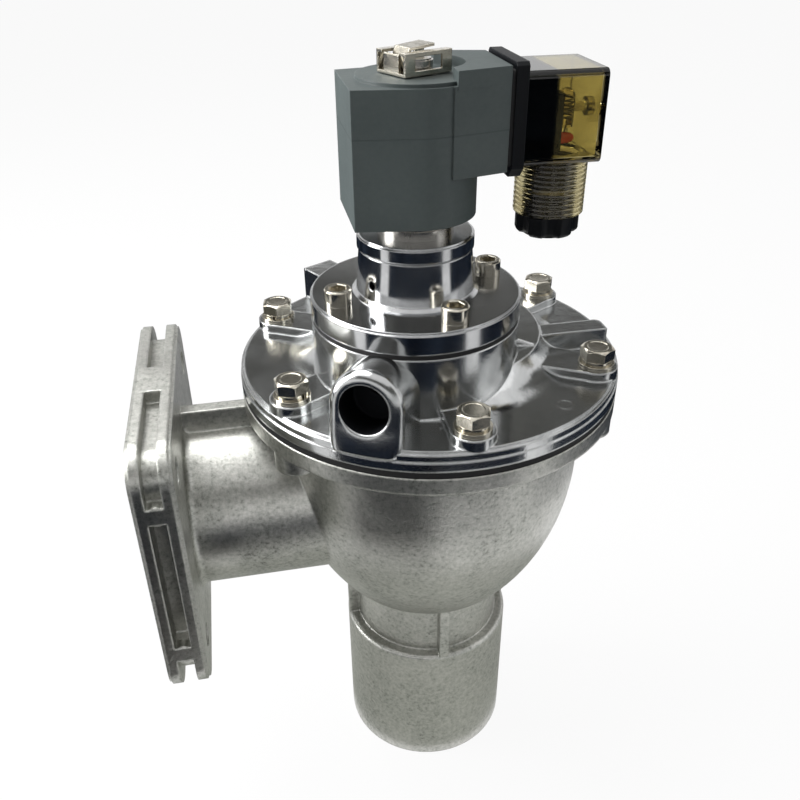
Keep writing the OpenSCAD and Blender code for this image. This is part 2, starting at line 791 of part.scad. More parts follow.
// Small gusset between the dome's top and the stage's wall
module stage_gusset() {
    at_stage() rotate([0, 0, gusset_angle]) translate([stage_d / 2 - 1, gusset_w / 2, dome_top - 0.5])
        rotate([90, 0, 0]) linear_extrude(gusset_w)
            polygon([[0, 0], [gusset_len, 0], [gusset_len, 0.5], [0, gusset_h]]);
}

module valve_cover() {
    color(bright_col) difference() {
        intersection() {
            union() {
                rod(cover_r, cover_z, cover_z + rim_step);
                rod(cover_r - 0.4, cover_z, rim_top - 0.9);
                rod(cover_r - 1.3, cover_z, rim_top);
                rotate_extrude() dome_section();
                at_stage() rod(stage_d / 2, cover_z + 1, stage_z);
                at_bolts() bolt_pad();
                port_boss();
                cover_bar();
                stage_gusset();
                cover_block(block_angle, dome_top_r - 8, cover_r - block_end, block_w,
                    dome_top + block_rise);
            }
            rod(cover_r, cover_z, stage_z + port_boss_w / 2);
        }
        // Chamber above the main diaphragm
        rod(clamp_r, cover_z - 1, cover_z + cavity_step);
        rod(dome_top_r - dome_wall, cover_z + cavity_step - 1, ceiling_z);
        // Ring-shaped chamber under the pilot diaphragm and the throat in its middle
        at_stage() {
            ring(stage_bore_r, stage_tube_r, stage_floor, stage_z + 1);
            rod(stage_tube_r + 1, stage_seat_z, stage_z + 1);
            rod(stage_throat_r, ceiling_z - 1, stage_z + 1);
        }
        at_port() {
            rod_x(port_d / 2, -port_depth, port_edge_r + 1, 0);
            rod_x(passage_r, stage_off + stage_bore_r - 1 - port_face, -port_depth + 1, passage_rise);
        }
        at_bolts() rod(bolt_d / 2 + bolt_gap, cover_z - 1, pad_top + 1);
        at_screws() rod(socket_d / 2 - 0.4, stage_z - screw_tap, stage_z + 1);
    }
}

module cover_bolts() {
    z = pad_top + flat_washer_t + spring_washer_t;
    color(nickel_col) at_bolts() rotate([0, 0, 30]) {
        rod(bolt_d / 2, joint_z, z + eps);
        intersection() {
            translate([0, 0, z]) cylinder(d = bolt_af / cos(30), h = bolt_head_h, $fn = 6);
            translate([0, 0, z - 6]) cylinder(r1 = bolt_af * 0.5 + 6.6, r2 = bolt_af * 0.5 - 0.5,
                h = bolt_head_h + 6);
        }
    }
    color(nickel_col) {
        at_lugs() rod(tap_r - 0.02, joint_z - tap_depth + 2, joint_z + eps);
        for (a = [-90, 90]) rotate([0, 0, a]) translate([bolt_r, 0, 0])
            rod(tap_r - 0.02, joint_z - tap_short + 0.4, joint_z + eps);
    }
}

module cover_spring_washers() {
    z = pad_top + flat_washer_t;
    color(nickel_col) at_bolts() rotate([0, 0, 100]) difference() {
        ring(bolt_d / 2 + 2.1, bolt_d / 2 + 0.15, z, z + spring_washer_t);
        translate([0, -0.5, z - 1]) cube([bolt_d, 1, spring_washer_t + 2]);
    }
}

module cover_flat_washers() {
    color(nickel_col) at_bolts()
        ring(bolt_d, bolt_d / 2 + 0.2, pad_top, pad_top + flat_washer_t);
}

module pilot_diaphragm() {
    color(rubber_col) difference() {
        at_stage() translate([0, 0, stage_z]) rotate_extrude()
            diaphragm_section(stage_d / 2 - 0.2, stage_bore_r, pilot_plate_r, pilot_hole_r,
                pilot_diaphragm_t, pilot_roll_mid, pilot_roll_r);
        at_screws() rod(socket_d / 2 + bolt_gap, stage_z - 1, pilot_cover_z + 1);
    }
}

module pilot_seat_pad() {
    color(rubber_col) at_stage()
        ring(stage_tube_r + 1.4, pilot_hole_r, stage_seat_z + seat_gap, stage_z);
}

module pilot_upper_plate() {
    color(brass_col) at_stage()
        ring(pilot_plate_r, pilot_hole_r, pilot_cover_z, pilot_cover_z + pilot_plate_t);
}

module pilot_hub_screw() {
    z = pilot_cover_z + pilot_plate_t;
    color(nickel_col) at_stage() {
        rod(pilot_hole_r - slip_gap, stage_seat_z - 1, z + eps);
        rod(pilot_head_r, z, z + pilot_head_h);
        rod(stage_throat_r - 2.6, stage_seat_z - 2.4, stage_seat_z + seat_gap);
    }
}

module pilot_spring() {
    color(nickel_col) at_stage() coil_spring(pilot_spring_r, pilot_spring_r, pilot_spring_wire,
        pilot_cover_z + pilot_plate_t + 0.1, pilot_pocket_top - 0.1, 4, 18, 6);
}

module pilot_cover() {
    color(bright_col) difference() {
        at_stage() union() {
            rod(stage_d / 2, pilot_cover_z, pilot_disc_top - 0.8);
            rod(stage_d / 2 - 0.6, pilot_cover_z, pilot_disc_top);
            translate([0, 0, pilot_disc_top - eps]) cylinder(r1 = tower_foot_d / 2 + 1.2,
                r2 = tower_foot_d / 2, h = 1.2);
            translate([0, 0, pilot_disc_top]) cylinder(r1 = tower_foot_d / 2,
                r2 = tower_waist_d / 2, h = tower_h - collar_h - 0.5);
            rod(tower_waist_d / 2 - 0.4, pilot_disc_top, tower_top - collar_h + 0.5);
            rod(collar_d / 2, tower_top - collar_h, tower_top - 0.6);
            rod(collar_d / 2 - 0.6, tower_top - collar_h, tower_top);
        }
        at_stage() {
            rod(stage_bore_r, pilot_cover_z - 1, pilot_cavity_top);
            rod(pilot_pocket_r, pilot_cover_z, pilot_pocket_top);
            rod(bush_r, pilot_pocket_top - 1, spigot_hole_z + 1);
            rod(spigot_r, spigot_hole_z, tower_top + 1);
            translate([0, 0, vent_z]) rotate([0, 90, vent_angle])
                cylinder(d = vent_d, h = tower_foot_d);
        }
        at_screws() rod(socket_d / 2 + bolt_gap, pilot_cover_z - 1, pilot_disc_top + 1);
    }
}

module pilot_cover_screws() {
    z = pilot_disc_top;
    color(nickel_col) at_screws() difference() {
        union() {
            rod(socket_d / 2 - 0.42, stage_z - screw_tap + 2, pilot_cover_z);
            rod(socket_d / 2, pilot_cover_z - eps, z + eps);
            rod(socket_head_d / 2, z, z + socket_head_h - 0.4);
            rod(socket_head_d / 2 - 0.4, z, z + socket_head_h);
        }
        translate([0, 0, z + socket_head_h - 2.6])
            cylinder(d = socket_d * 0.8 / cos(30), h = 3, $fn = 6);
    }
}

module pilot_seat_bush() {
    color(brass_col) at_stage() difference() {
        union() {
            rod(bush_r - slip_gap / 2, pilot_pocket_top + 0.2, spigot_hole_z);
            rod(bush_r + 1.6, spigot_hole_z, spigot_hole_z + 0.4);
            translate([0, 0, spigot_hole_z]) cylinder(r1 = bush_r, r2 = orifice_r + 0.7,
                h = bush_top - spigot_hole_z);
        }
        rod(orifice_r, pilot_pocket_top - 1, bush_top + 1);
    }
}

module plunger_tube() {
    color(nickel_col) at_stage() difference() {
        union() {
            rod(spigot_r - slip_gap, spigot_z, tower_top);
            rod(nut_base_r, tower_top, tower_top + nut_base_h - 0.5);
            rod(nut_base_r - 0.5, tower_top, tower_top + nut_base_h);
            rod(tube_r, tower_top, coil_top);
            rod(head_r, tower_top, clip_z - 0.15);
            rod(groove_r, tower_top, tube_top);
            rod(head_r, clip_z + clip_t + 0.15, tube_top - 0.5);
            rod(head_r - 0.5, clip_z + clip_t + 0.15, tube_top);
        }
        rod(tube_in_r, spigot_z - 1, core_z + 6);
        rod(plunger_d / 2 + slip_gap / 2, core_z + 5, core_top);
        // Groove for the O-ring under the base
        ring(spigot_r + 1, spigot_r - 1.4, tower_top - 2.4, tower_top - 0.6);
    }
}

module tube_o_ring() {
    color(rubber_col) at_stage() translate([0, 0, tower_top - 1.5]) rotate_extrude()
        translate([spigot_r - 0.75, 0]) circle(r = 0.62);
}

module fixed_core() {
    color(nickel_col) at_stage() rod(plunger_d / 2, core_z, core_top);
}

module plunger() {
    z = plunger_z;
    color(nickel_col) at_stage() difference() {
        rod(plunger_d / 2, z + 1, z + plunger_len);
        rod(plunger_d / 2 - 2, z - 1, z + plunger_seal_h);
        rod(spring_pocket_r, z + plunger_len - spring_pocket_depth, z + plunger_len + 1);
    }
}

module plunger_seal() {
    color(rubber_col) at_stage()
        rod(plunger_d / 2 - 2 - slip_gap / 2, plunger_z, plunger_z + plunger_seal_h);
}

module plunger_spring() {
    color(nickel_col) at_stage() coil_spring(plunger_spring_r, plunger_spring_r, plunger_spring_wire,
        plunger_z + plunger_len - spring_pocket_depth + 0.1, core_z - 0.1, 7, 14, 6);
}

module cushion_ring() {
    color(rubber_col) at_stage()
        ring(tube_r + 3.4, tube_r + slip_gap, tower_top + nut_base_h, coil_z - run_gap);
}

// Plan of the coil's main part: a circle and the two lines that run from it to the flat end
module coil_plan() {
    corner = norm([coil_back, coil_back_w / 2]);
    turn = atan2(coil_back_w / 2, coil_back) + acos(coil_round_r / corner);
    tx = -coil_round_r * cos(turn);
    ty = coil_round_r * sin(turn);
    circle(r = coil_round_r);
    polygon([[-coil_back, -coil_back_w / 2], [tx, -ty], [0, 0], [tx, ty],
        [-coil_back, coil_back_w / 2]]);
}

// Plan of the connector arm, which narrows from the round part to the connector's face
module arm_plan(x0) {
    w0 = coil_round_r - 0.8;
    polygon([[x0, -w0], [arm_len, -arm_w / 2], [arm_len, arm_w / 2], [x0, w0]]);
}

module coil_moulding() {
    color(coil_col) at_stage() difference() {
        union() {
            translate([0, 0, coil_z]) linear_extrude(coil_h) coil_plan();
            translate([0, 0, arm_z]) linear_extrude(coil_top - arm_z) arm_plan(7);
            translate([0, 0, coil_top - 1]) linear_extrude(arm_rise + 1) arm_plan(8);
            rod(coil_disc_d / 2, coil_top - 1, disc_top);
        }
        rod(tube_r + turn_gap, coil_z - 1, disc_top + 1);
        rod(arm_notch_r, disc_top, arm_top + 1);
        rod_x(screw_core_r, arm_len - screw_in, arm_len + 1, arm_mid_z);
        for (t = terminal_spots) translate([arm_len - 4, t[0] - t[2] / 2, arm_mid_z + t[1] - t[3] / 2])
            cube([5, t[2], t[3]]);
    }
}

// Centre, width and height of each terminal blade on the coil's connector face
terminal_spots = [[-9, 0, 0.8, 6.3], [9, 0, 0.8, 6.3], [0, 9, 6.3, 0.8]];

module coil_terminals() {
    color(brass_col) at_stage() for (t = terminal_spots)
        translate([arm_len - 4, t[0] - t[2] / 2, arm_mid_z + t[1] - t[3] / 2])
            cube([4 + gasket_t + base_t + 2, t[2], t[3]]);
}

// Folded sheet clip that holds the coil on its tube
module coil_clip() {
    half = clip_w / 2;
    front = -clip_len / 2 - clip_shift;
    slot = groove_r + 0.2;
    color(nickel_col) at_stage() rotate([0, 0, clip_turn]) translate([0, 0, clip_z]) {
        difference() {
            translate([front, -half, 0]) cube([clip_len, clip_w, clip_t]);
            rod(slot, -1, clip_t + 1);
            translate([0, 0.02 - slot, -1]) cube([clip_len, 2 * slot - 0.04, clip_t + 2]);
        }
        for (s = [-1, 1]) {
            difference() {
                translate([front, s > 0 ? half - clip_t : -half, 0])
                    cube([clip_len, clip_t, clip_wall_h + clip_t]);
                translate([front + clip_post_w, s > 0 ? half - clip_t - 1 : -half - 1, clip_t + 0.6])
                    cube([clip_len - 2 * clip_post_w, clip_t + 2, clip_wall_h - clip_t - 1]);
            }
            translate([front, s > 0 ? half - clip_fold_w : -half, clip_wall_h])
                cube([clip_len, clip_fold_w, clip_t]);
        }
        clip_tongue(front);
    }
}

// Narrow tongue that rises from the clip's end, dips in a vee and reaches over the tube's head
module clip_tongue(front) {
    mid = clip_t / 2;
    foot = front + mid + 0.1;
    high = clip_wall_h + clip_t;
    dip = front - 0.4 + (-head_r - front) * 0.75;
    translate([0, tongue_w / 2, 0]) rotate([90, 0, 0]) linear_extrude(tongue_w)
        bent_strip([[foot, mid + 0.1], [foot, high - 1], [dip, clip_t + 0.8],
            [-head_r + 0.6, high + mid], [head_r - 1, high + mid + 0.6]], clip_t);
}

// A strip of sheet seen from its edge, with a round bend at each point
module bent_strip(pts, t) {
    for (i = [0 : len(pts) - 2]) {
        d = pts[i + 1] - pts[i];
        translate(pts[i]) rotate(atan2(d[1], d[0])) translate([0, -t / 2]) square([norm(d), t]);
        translate(pts[i]) circle(d = t + 0.06);
    }
}

module connector_gasket() {
    color(rubber_col) at_stage() difference() {
        plate_x(arm_w, arm_w, 1.4, gasket_x, base_x, arm_mid_z);
        rod_x(screw_core_r + bolt_gap, gasket_x - 1, base_x + 1, arm_mid_z);
        terminal_slots(gasket_x - 1, base_x + 1, 0.2);
    }
}

module terminal_slots(x0, x1, gap) {
    for (t = terminal_spots) translate([x0, t[0] - t[2] / 2 - gap, arm_mid_z + t[1] - t[3] / 2 - gap])
        cube([x1 - x0, t[2] + 2 * gap, t[3] + 2 * gap]);
}

// Base plate of the connector with its terminal block, which reaches into the housing
module connector_base() {
    z0 = arm_mid_z - base_h / 2 - base_drop;
    cut = 3;
    color(black_col) at_stage() difference() {
        union() {
            translate([base_x, 0, z0]) rotate([90, 0, 90]) linear_extrude(base_t)
                polygon([[-base_w / 2 + cut, 0], [base_w / 2 - cut, 0], [base_w / 2, cut],
                    [base_w / 2, base_h - 1], [base_w / 2 - 1, base_h], [-base_w / 2 + 1, base_h],
                    [-base_w / 2, base_h - 1], [-base_w / 2, cut]]);
            translate([housing_x - eps, -term_w / 2, term_z]) cube([term_len, term_w, term_h]);
            translate([housing_x - eps, -term_w / 2, term_z])
                cube([term_len + term_step, term_w, term_h - term_drop]);
        }
        rod_x(screw_core_r + bolt_gap, base_x - 1, housing_x + term_len + term_step + 1, arm_mid_z);
        terminal_slots(base_x - 1, housing_x + 2.4, 0.1);
    }
}

// Clear housing with one open side, a screw hole in its end and a gland barrel below
module connector_housing() {
    mid_z = housing_z + housing_h / 2;
    color(amber_col) at_stage() difference() {
        union() {
            plate_x(arm_w, housing_h, housing_corner_r, housing_x + 0.05, housing_end, mid_z);
            translate([barrel_x, 0, 0]) rod(barrel_d / 2, barrel_z, housing_z + 1);
        }
        plate_x(arm_w - 2 * housing_wall, housing_h - 2 * housing_wall, housing_corner_r / 2,
            housing_x - 1, housing_end - housing_wall, mid_z);
        translate([barrel_x, 0, 0]) rod(barrel_bore_d / 2, barrel_z - 1, housing_z + housing_wall + 1);
        rod_x(screw_core_r + bolt_gap, housing_end - 4, housing_end + 1, arm_mid_z);
    }
}

module indicator_lamp() {
    color(amber_col) at_stage()
        translate([housing_x + term_len + term_step + lamp_r + 0.3, -5.4, housing_z + housing_wall + 8]) {
            cylinder(r = lamp_r, h = lamp_h);
            translate([0, 0, lamp_h]) sphere(r = lamp_r);
        }
}

// Red indicator diode that stands out of the terminal block's foot
module indicator_led() {
    color([0.75, 0.08, 0.05]) at_stage()
        translate([housing_x + term_len + term_step + 0.3, -8, housing_z + housing_wall + 5.2]) {
            rotate([0, 90, 0]) cylinder(r = led_r, h = 2.6);
            translate([2.6, 0, 0]) sphere(r = led_r);
        }
}

module lamp_resistor() {
    color(brass_col) at_stage()
        translate([housing_x + term_len + term_step + 0.3, 6, housing_z + housing_wall + 7])
            rotate([0, 90, 0]) cylinder(r = resistor_r, h = 6);
}

module connector_screw() {
    head_r = 2.8;
    color(nickel_col) at_stage() {
        rod_x(screw_core_r - slip_gap / 2, arm_len - screw_in + 1, housing_end + 0.05, arm_mid_z);
        difference() {
            rod_x(head_r, housing_end, housing_end + 2, arm_mid_z);
            translate([housing_end + 1.2, -head_r - 1, arm_mid_z - 0.4])
                cube([2, 2 * head_r + 2, 0.8]);
        }
    }
}

module gland_seal() {
    color(rubber_col) at_stage() translate([barrel_x, 0, 0])
        ring(barrel_bore_d / 2 - slip_gap, cable_d / 2 + 0.2, barrel_z + gland_thread_h + gland_washer_t,
            housing_z - 1);
}

module gland_washer() {
    color(nickel_col) at_stage() translate([barrel_x, 0, 0])
        ring(barrel_bore_d / 2 - slip_gap, cable_d / 2 + 0.1, barrel_z + gland_thread_h,
            barrel_z + gland_thread_h + gland_washer_t);
}

// Gland nut: a threaded spigot inside the barrel and a head with grip lobes
module gland_nut() {
    color(black_col) at_stage() translate([barrel_x, 0, 0]) difference() {
        union() {
            rod(barrel_bore_d / 2 - slip_gap, barrel_z - 1, barrel_z + gland_thread_h);
            rod(nut_d / 2 - 1, nut_z, barrel_z - 0.2);
            rod(nut_d / 2, nut_z + 1, barrel_z - 1.2);
            translate([0, 0, nut_z]) cylinder(r1 = nut_d / 2 - 1.4, r2 = nut_d / 2, h = 1);
        }
        rod(cable_d / 2, nut_z - 1, barrel_z + gland_thread_h + 1);
        for (i = [0 : nut_lobes - 1]) rotate([0, 0, (i + 0.5) * 360 / nut_lobes])
            translate([nut_d / 2 + 1.2, 0, 0]) rod(lobe_r, nut_z - 1, barrel_z - 2);
    }
}

body_casting();
flange_o_ring();
main_diaphragm();
main_seat_pad();
main_lower_plate();
main_upper_plate();
main_hub_screw();
main_hub_nut();
main_spring();
valve_cover();
cover_bolts();
cover_spring_washers();
cover_flat_washers();
pilot_diaphragm();
pilot_seat_pad();
pilot_upper_plate();
pilot_hub_screw();
pilot_spring();
pilot_cover();
pilot_cover_screws();
pilot_seat_bush();
plunger_tube();
tube_o_ring();
fixed_core();
plunger();
plunger_seal();
plunger_spring();
cushion_ring();
coil_moulding();
coil_clip();
coil_terminals();
connector_gasket();
connector_base();
connector_housing();
indicator_lamp();
indicator_led();
lamp_resistor();
connector_screw();
gland_seal();
gland_washer();
gland_nut();
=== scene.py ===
import json
import math
import bpy
import numpy as np
from mathutils import Matrix, Vector


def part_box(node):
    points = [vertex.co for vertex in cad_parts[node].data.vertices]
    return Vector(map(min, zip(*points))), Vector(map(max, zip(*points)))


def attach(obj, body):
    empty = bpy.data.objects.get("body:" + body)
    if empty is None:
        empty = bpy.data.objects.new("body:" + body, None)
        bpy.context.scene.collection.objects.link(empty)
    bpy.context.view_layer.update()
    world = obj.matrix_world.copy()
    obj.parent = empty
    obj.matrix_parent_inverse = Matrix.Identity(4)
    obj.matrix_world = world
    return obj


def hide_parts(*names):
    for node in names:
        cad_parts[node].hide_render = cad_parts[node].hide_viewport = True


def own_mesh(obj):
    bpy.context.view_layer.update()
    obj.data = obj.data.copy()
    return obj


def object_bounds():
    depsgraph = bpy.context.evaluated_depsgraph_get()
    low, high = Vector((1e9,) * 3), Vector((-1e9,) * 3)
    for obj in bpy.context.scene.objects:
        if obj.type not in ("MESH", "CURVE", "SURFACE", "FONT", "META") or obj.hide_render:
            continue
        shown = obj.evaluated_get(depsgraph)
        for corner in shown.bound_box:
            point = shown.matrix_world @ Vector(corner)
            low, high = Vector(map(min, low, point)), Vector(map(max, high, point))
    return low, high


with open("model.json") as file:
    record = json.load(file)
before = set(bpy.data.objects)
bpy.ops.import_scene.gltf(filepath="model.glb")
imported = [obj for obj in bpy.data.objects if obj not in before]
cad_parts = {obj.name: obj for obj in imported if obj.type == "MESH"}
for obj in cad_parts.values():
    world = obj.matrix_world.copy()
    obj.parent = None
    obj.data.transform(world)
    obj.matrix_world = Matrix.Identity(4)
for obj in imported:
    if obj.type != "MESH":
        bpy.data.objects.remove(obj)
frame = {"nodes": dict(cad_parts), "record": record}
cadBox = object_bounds()
nodes = frame["nodes"]
print("frame loaded:", len(nodes), "nodes")

mm = 0.001
stageAxis = (-7.75 * mm, -13.423 * mm)   # axis of the pilot stage, tube and coil
exhaust = next(m for m in frame["record"]["mounts"] if m["name"] == "exhaust_port")
portFace, portAxis, portRadius = exhaust["pos_m"], exhaust["axis"], exhaust["dims"]["r_mm"] * mm


def hexToLinear(code, alpha=1.0):
    # sRGB hex to the linear values that the shaders want
    parts = [int(code[i:i + 2], 16) / 255 for i in (1, 3, 5)]
    return tuple(c / 12.92 if c <= 0.04045 else ((c + 0.055) / 1.055) ** 2.4 for c in parts) + (alpha,)


def addNode(tree, kind, settings=None, links=None):
    # one node: settings go on its sockets or its properties, links are input: output socket. A
    # colour ramp's stops are (position, hex colour)
    made = tree.nodes.new(kind)
    for key, value in (settings or {}).items():
        if key == "stops":
            elements = made.color_ramp.elements
            while len(elements) < len(value):
                elements.new(0.5)
            for element, (position, code) in zip(elements, value):
                element.position = position
                element.color = hexToLinear(code)
        elif isinstance(key, int) or key in made.inputs:
            made.inputs[key].default_value = value
        else:
            setattr(made, key, value)
    for key, socket in (links or {}).items():
        tree.links.new(socket, made.inputs[key])
    return made


def newMaterial(name):
    # an empty material and the object's own coordinates. In what follows a noise of scale
    # 0.6 / size has lumps about size metres across, and Bevel nodes round the edges of castings
    # and mouldings, which are never sharp
    made = bpy.data.materials.new(name)
    made.use_nodes = True
    tree = made.node_tree
    tree.nodes.clear()
    place = addNode(tree, "ShaderNodeTexCoord").outputs["Object"]
    return made, tree, place


def finishMaterial(tree, shader):
    addNode(tree, "ShaderNodeOutputMaterial", links={"Surface": shader})


def mouldMarks(tree, place, centres, radius, width):
    # round marks of the mould's ejector pins: 1 on a ring of the given radius round each centre
    total = None
    for centre in centres:
        offset = addNode(tree, "ShaderNodeVectorMath", {"operation": "SUBTRACT", 1: centre}, {0: place})
        away = addNode(tree, "ShaderNodeVectorMath", {"operation": "LENGTH"}, {0: offset.outputs[0]})
        miss = addNode(tree, "ShaderNodeMath", {"operation": "SUBTRACT", 1: radius},
                       {0: away.outputs["Value"]})
        miss = addNode(tree, "ShaderNodeMath", {"operation": "ABSOLUTE"}, {0: miss.outputs[0]})
        ring = addNode(tree, "ShaderNodeMapRange",
                       {"From Min": 0, "From Max": width, "To Min": 1.0, "To Max": 0.0},
                       {"Value": miss.outputs[0]}).outputs["Result"]
        total = ring if total is None else addNode(
            tree, "ShaderNodeMath", {"operation": "MAXIMUM"}, {0: total, 1: ring}).outputs[0]
    return total


def castAluminium():
    # Gravity-cast aluminium, bead blasted: soft grey metal with a pebbled skin, dark pits that
    # hold dirt, and cloudy patches where the skin is smoother
    look = {"pit": "#5b5b56", "dark": "#959690", "mid": "#b5b6b0", "light": "#cccbc6", "grain": 0.9 * mm,
            "patch": 16 * mm, "edge": 1.2 * mm, "roughLow": 0.28, "roughHigh": 0.42, "relief": 0.3 * mm,
            "grainShare": 0.9, "bump": 0.4}
    made, tree, place = newMaterial("castAluminium")
    grain = addNode(tree, "ShaderNodeTexNoise",
                    {"Scale": 0.6 / look["grain"], "Detail": 5.0, "Roughness": 0.7},
                    {"Vector": place}).outputs["Fac"]
    patch = addNode(tree, "ShaderNodeTexNoise",
                    {"Scale": 0.6 / look["patch"], "Detail": 5.0, "Roughness": 0.6, "Distortion": 0.6},
                    {"Vector": place}).outputs["Fac"]
    shade = addNode(tree, "ShaderNodeMapRange",
                    {"From Min": 0.3, "From Max": 0.7, "To Min": -0.06, "To Max": 0.1},
                    {"Value": patch}).outputs["Result"]
    mixed = addNode(tree, "ShaderNodeMath", {"operation": "MULTIPLY_ADD", 1: look["grainShare"]},
                    {0: grain, 2: shade})
    colour = addNode(tree, "ShaderNodeValToRGB",
                     {"stops": [(0.2, look["pit"]), (0.3, look["dark"]), (0.42, look["mid"]),
                                (0.62, look["light"])]}, {"Fac": mixed.outputs[0]}).outputs["Color"]
    rough = addNode(tree, "ShaderNodeMapRange",
                    {"From Min": 0.3, "From Max": 0.7, "To Min": look["roughHigh"],
                     "To Max": look["roughLow"]}, {"Value": patch}).outputs["Result"]
    rounded = addNode(tree, "ShaderNodeBevel", {"samples": 6, "Radius": look["edge"]}).outputs["Normal"]
    bump = addNode(tree, "ShaderNodeBump", {"Strength": look["bump"], "Distance": look["relief"]},
                   {"Height": grain, "Normal": rounded})
    shader = addNode(tree, "ShaderNodeBsdfPrincipled", {"Metallic": 1.0},
                     {"Base Color": colour, "Roughness": rough, "Normal": bump.outputs[0]})
    finishMaterial(tree, shader.outputs[0])
    return made


def polishedAluminium():
    # Pressure die-cast aluminium, tumbled bright: near mirror with a faint orange-peel skin and
    # dull clouds
    look = {"low": "#a3a5a5", "high": "#cfd0d0", "peel": 3.4 * mm, "cloud": 15 * mm, "edge": 1.1 * mm,
            "pepper": 0.7 * mm, "pepperRise": 0.22, "roughLow": 0.12, "roughHigh": 0.24, "bump": 0.3,
            "relief": 0.3 * mm, "boreShadeTone": "#26272a", "boreRough": 0.45, "boreDepth": 45 * mm,
            "markRadius": 2.6 * mm, "markWidth": 0.5 * mm, "markRise": 0.5,
            "marks": [(33.8 * mm, -47.7 * mm, 183.5 * mm), (-33.8 * mm, 47.7 * mm, 183.5 * mm)]}
    made, tree, place = newMaterial("polishedAluminium")
    peel = addNode(tree, "ShaderNodeTexNoise",
                   {"Scale": 0.6 / look["peel"], "Detail": 3.0, "Roughness": 0.5},
                   {"Vector": place}).outputs["Fac"]
    cloud = addNode(tree, "ShaderNodeTexNoise",
                    {"Scale": 0.6 / look["cloud"], "Detail": 4.0, "Roughness": 0.6, "Distortion": 0.4},
                    {"Vector": place}).outputs["Fac"]
    colour = addNode(tree, "ShaderNodeValToRGB", {"stops": [(0.3, look["low"]), (0.7, look["high"])]},
                     {"Fac": cloud}).outputs["Color"]
    rough = addNode(tree, "ShaderNodeMapRange",
                    {"From Min": 0.3, "From Max": 0.7, "To Min": look["roughHigh"],
                     "To Max": look["roughLow"]}, {"Value": cloud}).outputs["Result"]
    # inside the port's bore the casting is left rough, and its colour is painted shade, near black
    offset = addNode(tree, "ShaderNodeVectorMath", {"operation": "SUBTRACT", 1: portFace}, {0: place})
    cross = addNode(tree, "ShaderNodeVectorMath", {"operation": "CROSS_PRODUCT", 1: portAxis},
                    {0: offset.outputs[0]})
    away = addNode(tree, "ShaderNodeVectorMath", {"operation": "LENGTH"}, {0: cross.outputs[0]})
    inBore = addNode(tree, "ShaderNodeMapRange",
                     {"From Min": portRadius + 0.02 * mm, "From Max": portRadius + 0.12 * mm, "To Min": 1.0,
                      "To Max": 0.0}, {"Value": away.outputs["Value"]}).outputs["Result"]
    along = addNode(tree, "ShaderNodeVectorMath", {"operation": "DOT_PRODUCT", 1: portAxis},
                    {0: offset.outputs[0]})
    nearFace = addNode(tree, "ShaderNodeMapRange",
                       {"From Min": -look["boreDepth"] - 1 * mm, "From Max": -look["boreDepth"],
                        "To Min": 0.0, "To Max": 1.0}, {"Value": along.outputs["Value"]}).outputs["Result"]
    inBore = addNode(tree, "ShaderNodeMath", {"operation": "MULTIPLY"}, {0: inBore, 1: nearFace}).outputs[0]
    colour = addNode(tree, "ShaderNodeMix", {"data_type": "RGBA", 7: hexToLinear(look["boreShadeTone"])},
                     {0: inBore, 6: colour}).outputs[2]
    rough = addNode(tree, "ShaderNodeMath", {"operation": "MULTIPLY_ADD", 1: look["boreRough"]},
                    {0: inBore, 2: rough}).outputs[0]
    marks = mouldMarks(tree, place, look["marks"], look["markRadius"], look["markWidth"])
    pepper = addNode(tree, "ShaderNodeTexNoise",
                     {"Scale": 0.6 / look["pepper"], "Detail": 3.0, "Roughness": 0.6},
                     {"Vector": place}).outputs["Fac"]
    height = addNode(tree, "ShaderNodeMath", {"operation": "MULTIPLY_ADD", 1: look["markRise"]},
                     {0: marks, 2: peel})
    height = addNode(tree, "ShaderNodeMath", {"operation": "MULTIPLY_ADD", 1: look["pepperRise"]},
                     {0: pepper, 2: height.outputs[0]})
    rounded = addNode(tree, "ShaderNodeBevel", {"samples": 6, "Radius": look["edge"]}).outputs["Normal"]
    bump = addNode(tree, "ShaderNodeBump", {"Strength": look["bump"], "Distance": look["relief"]},
                   {"Height": height.outputs[0], "Normal": rounded})
    shader = addNode(tree, "ShaderNodeBsdfPrincipled", {"Metallic": 1.0},
                     {"Base Color": colour, "Roughness": rough, "Normal": bump.outputs[0]})
    finishMaterial(tree, shader.outputs[0])
    return made


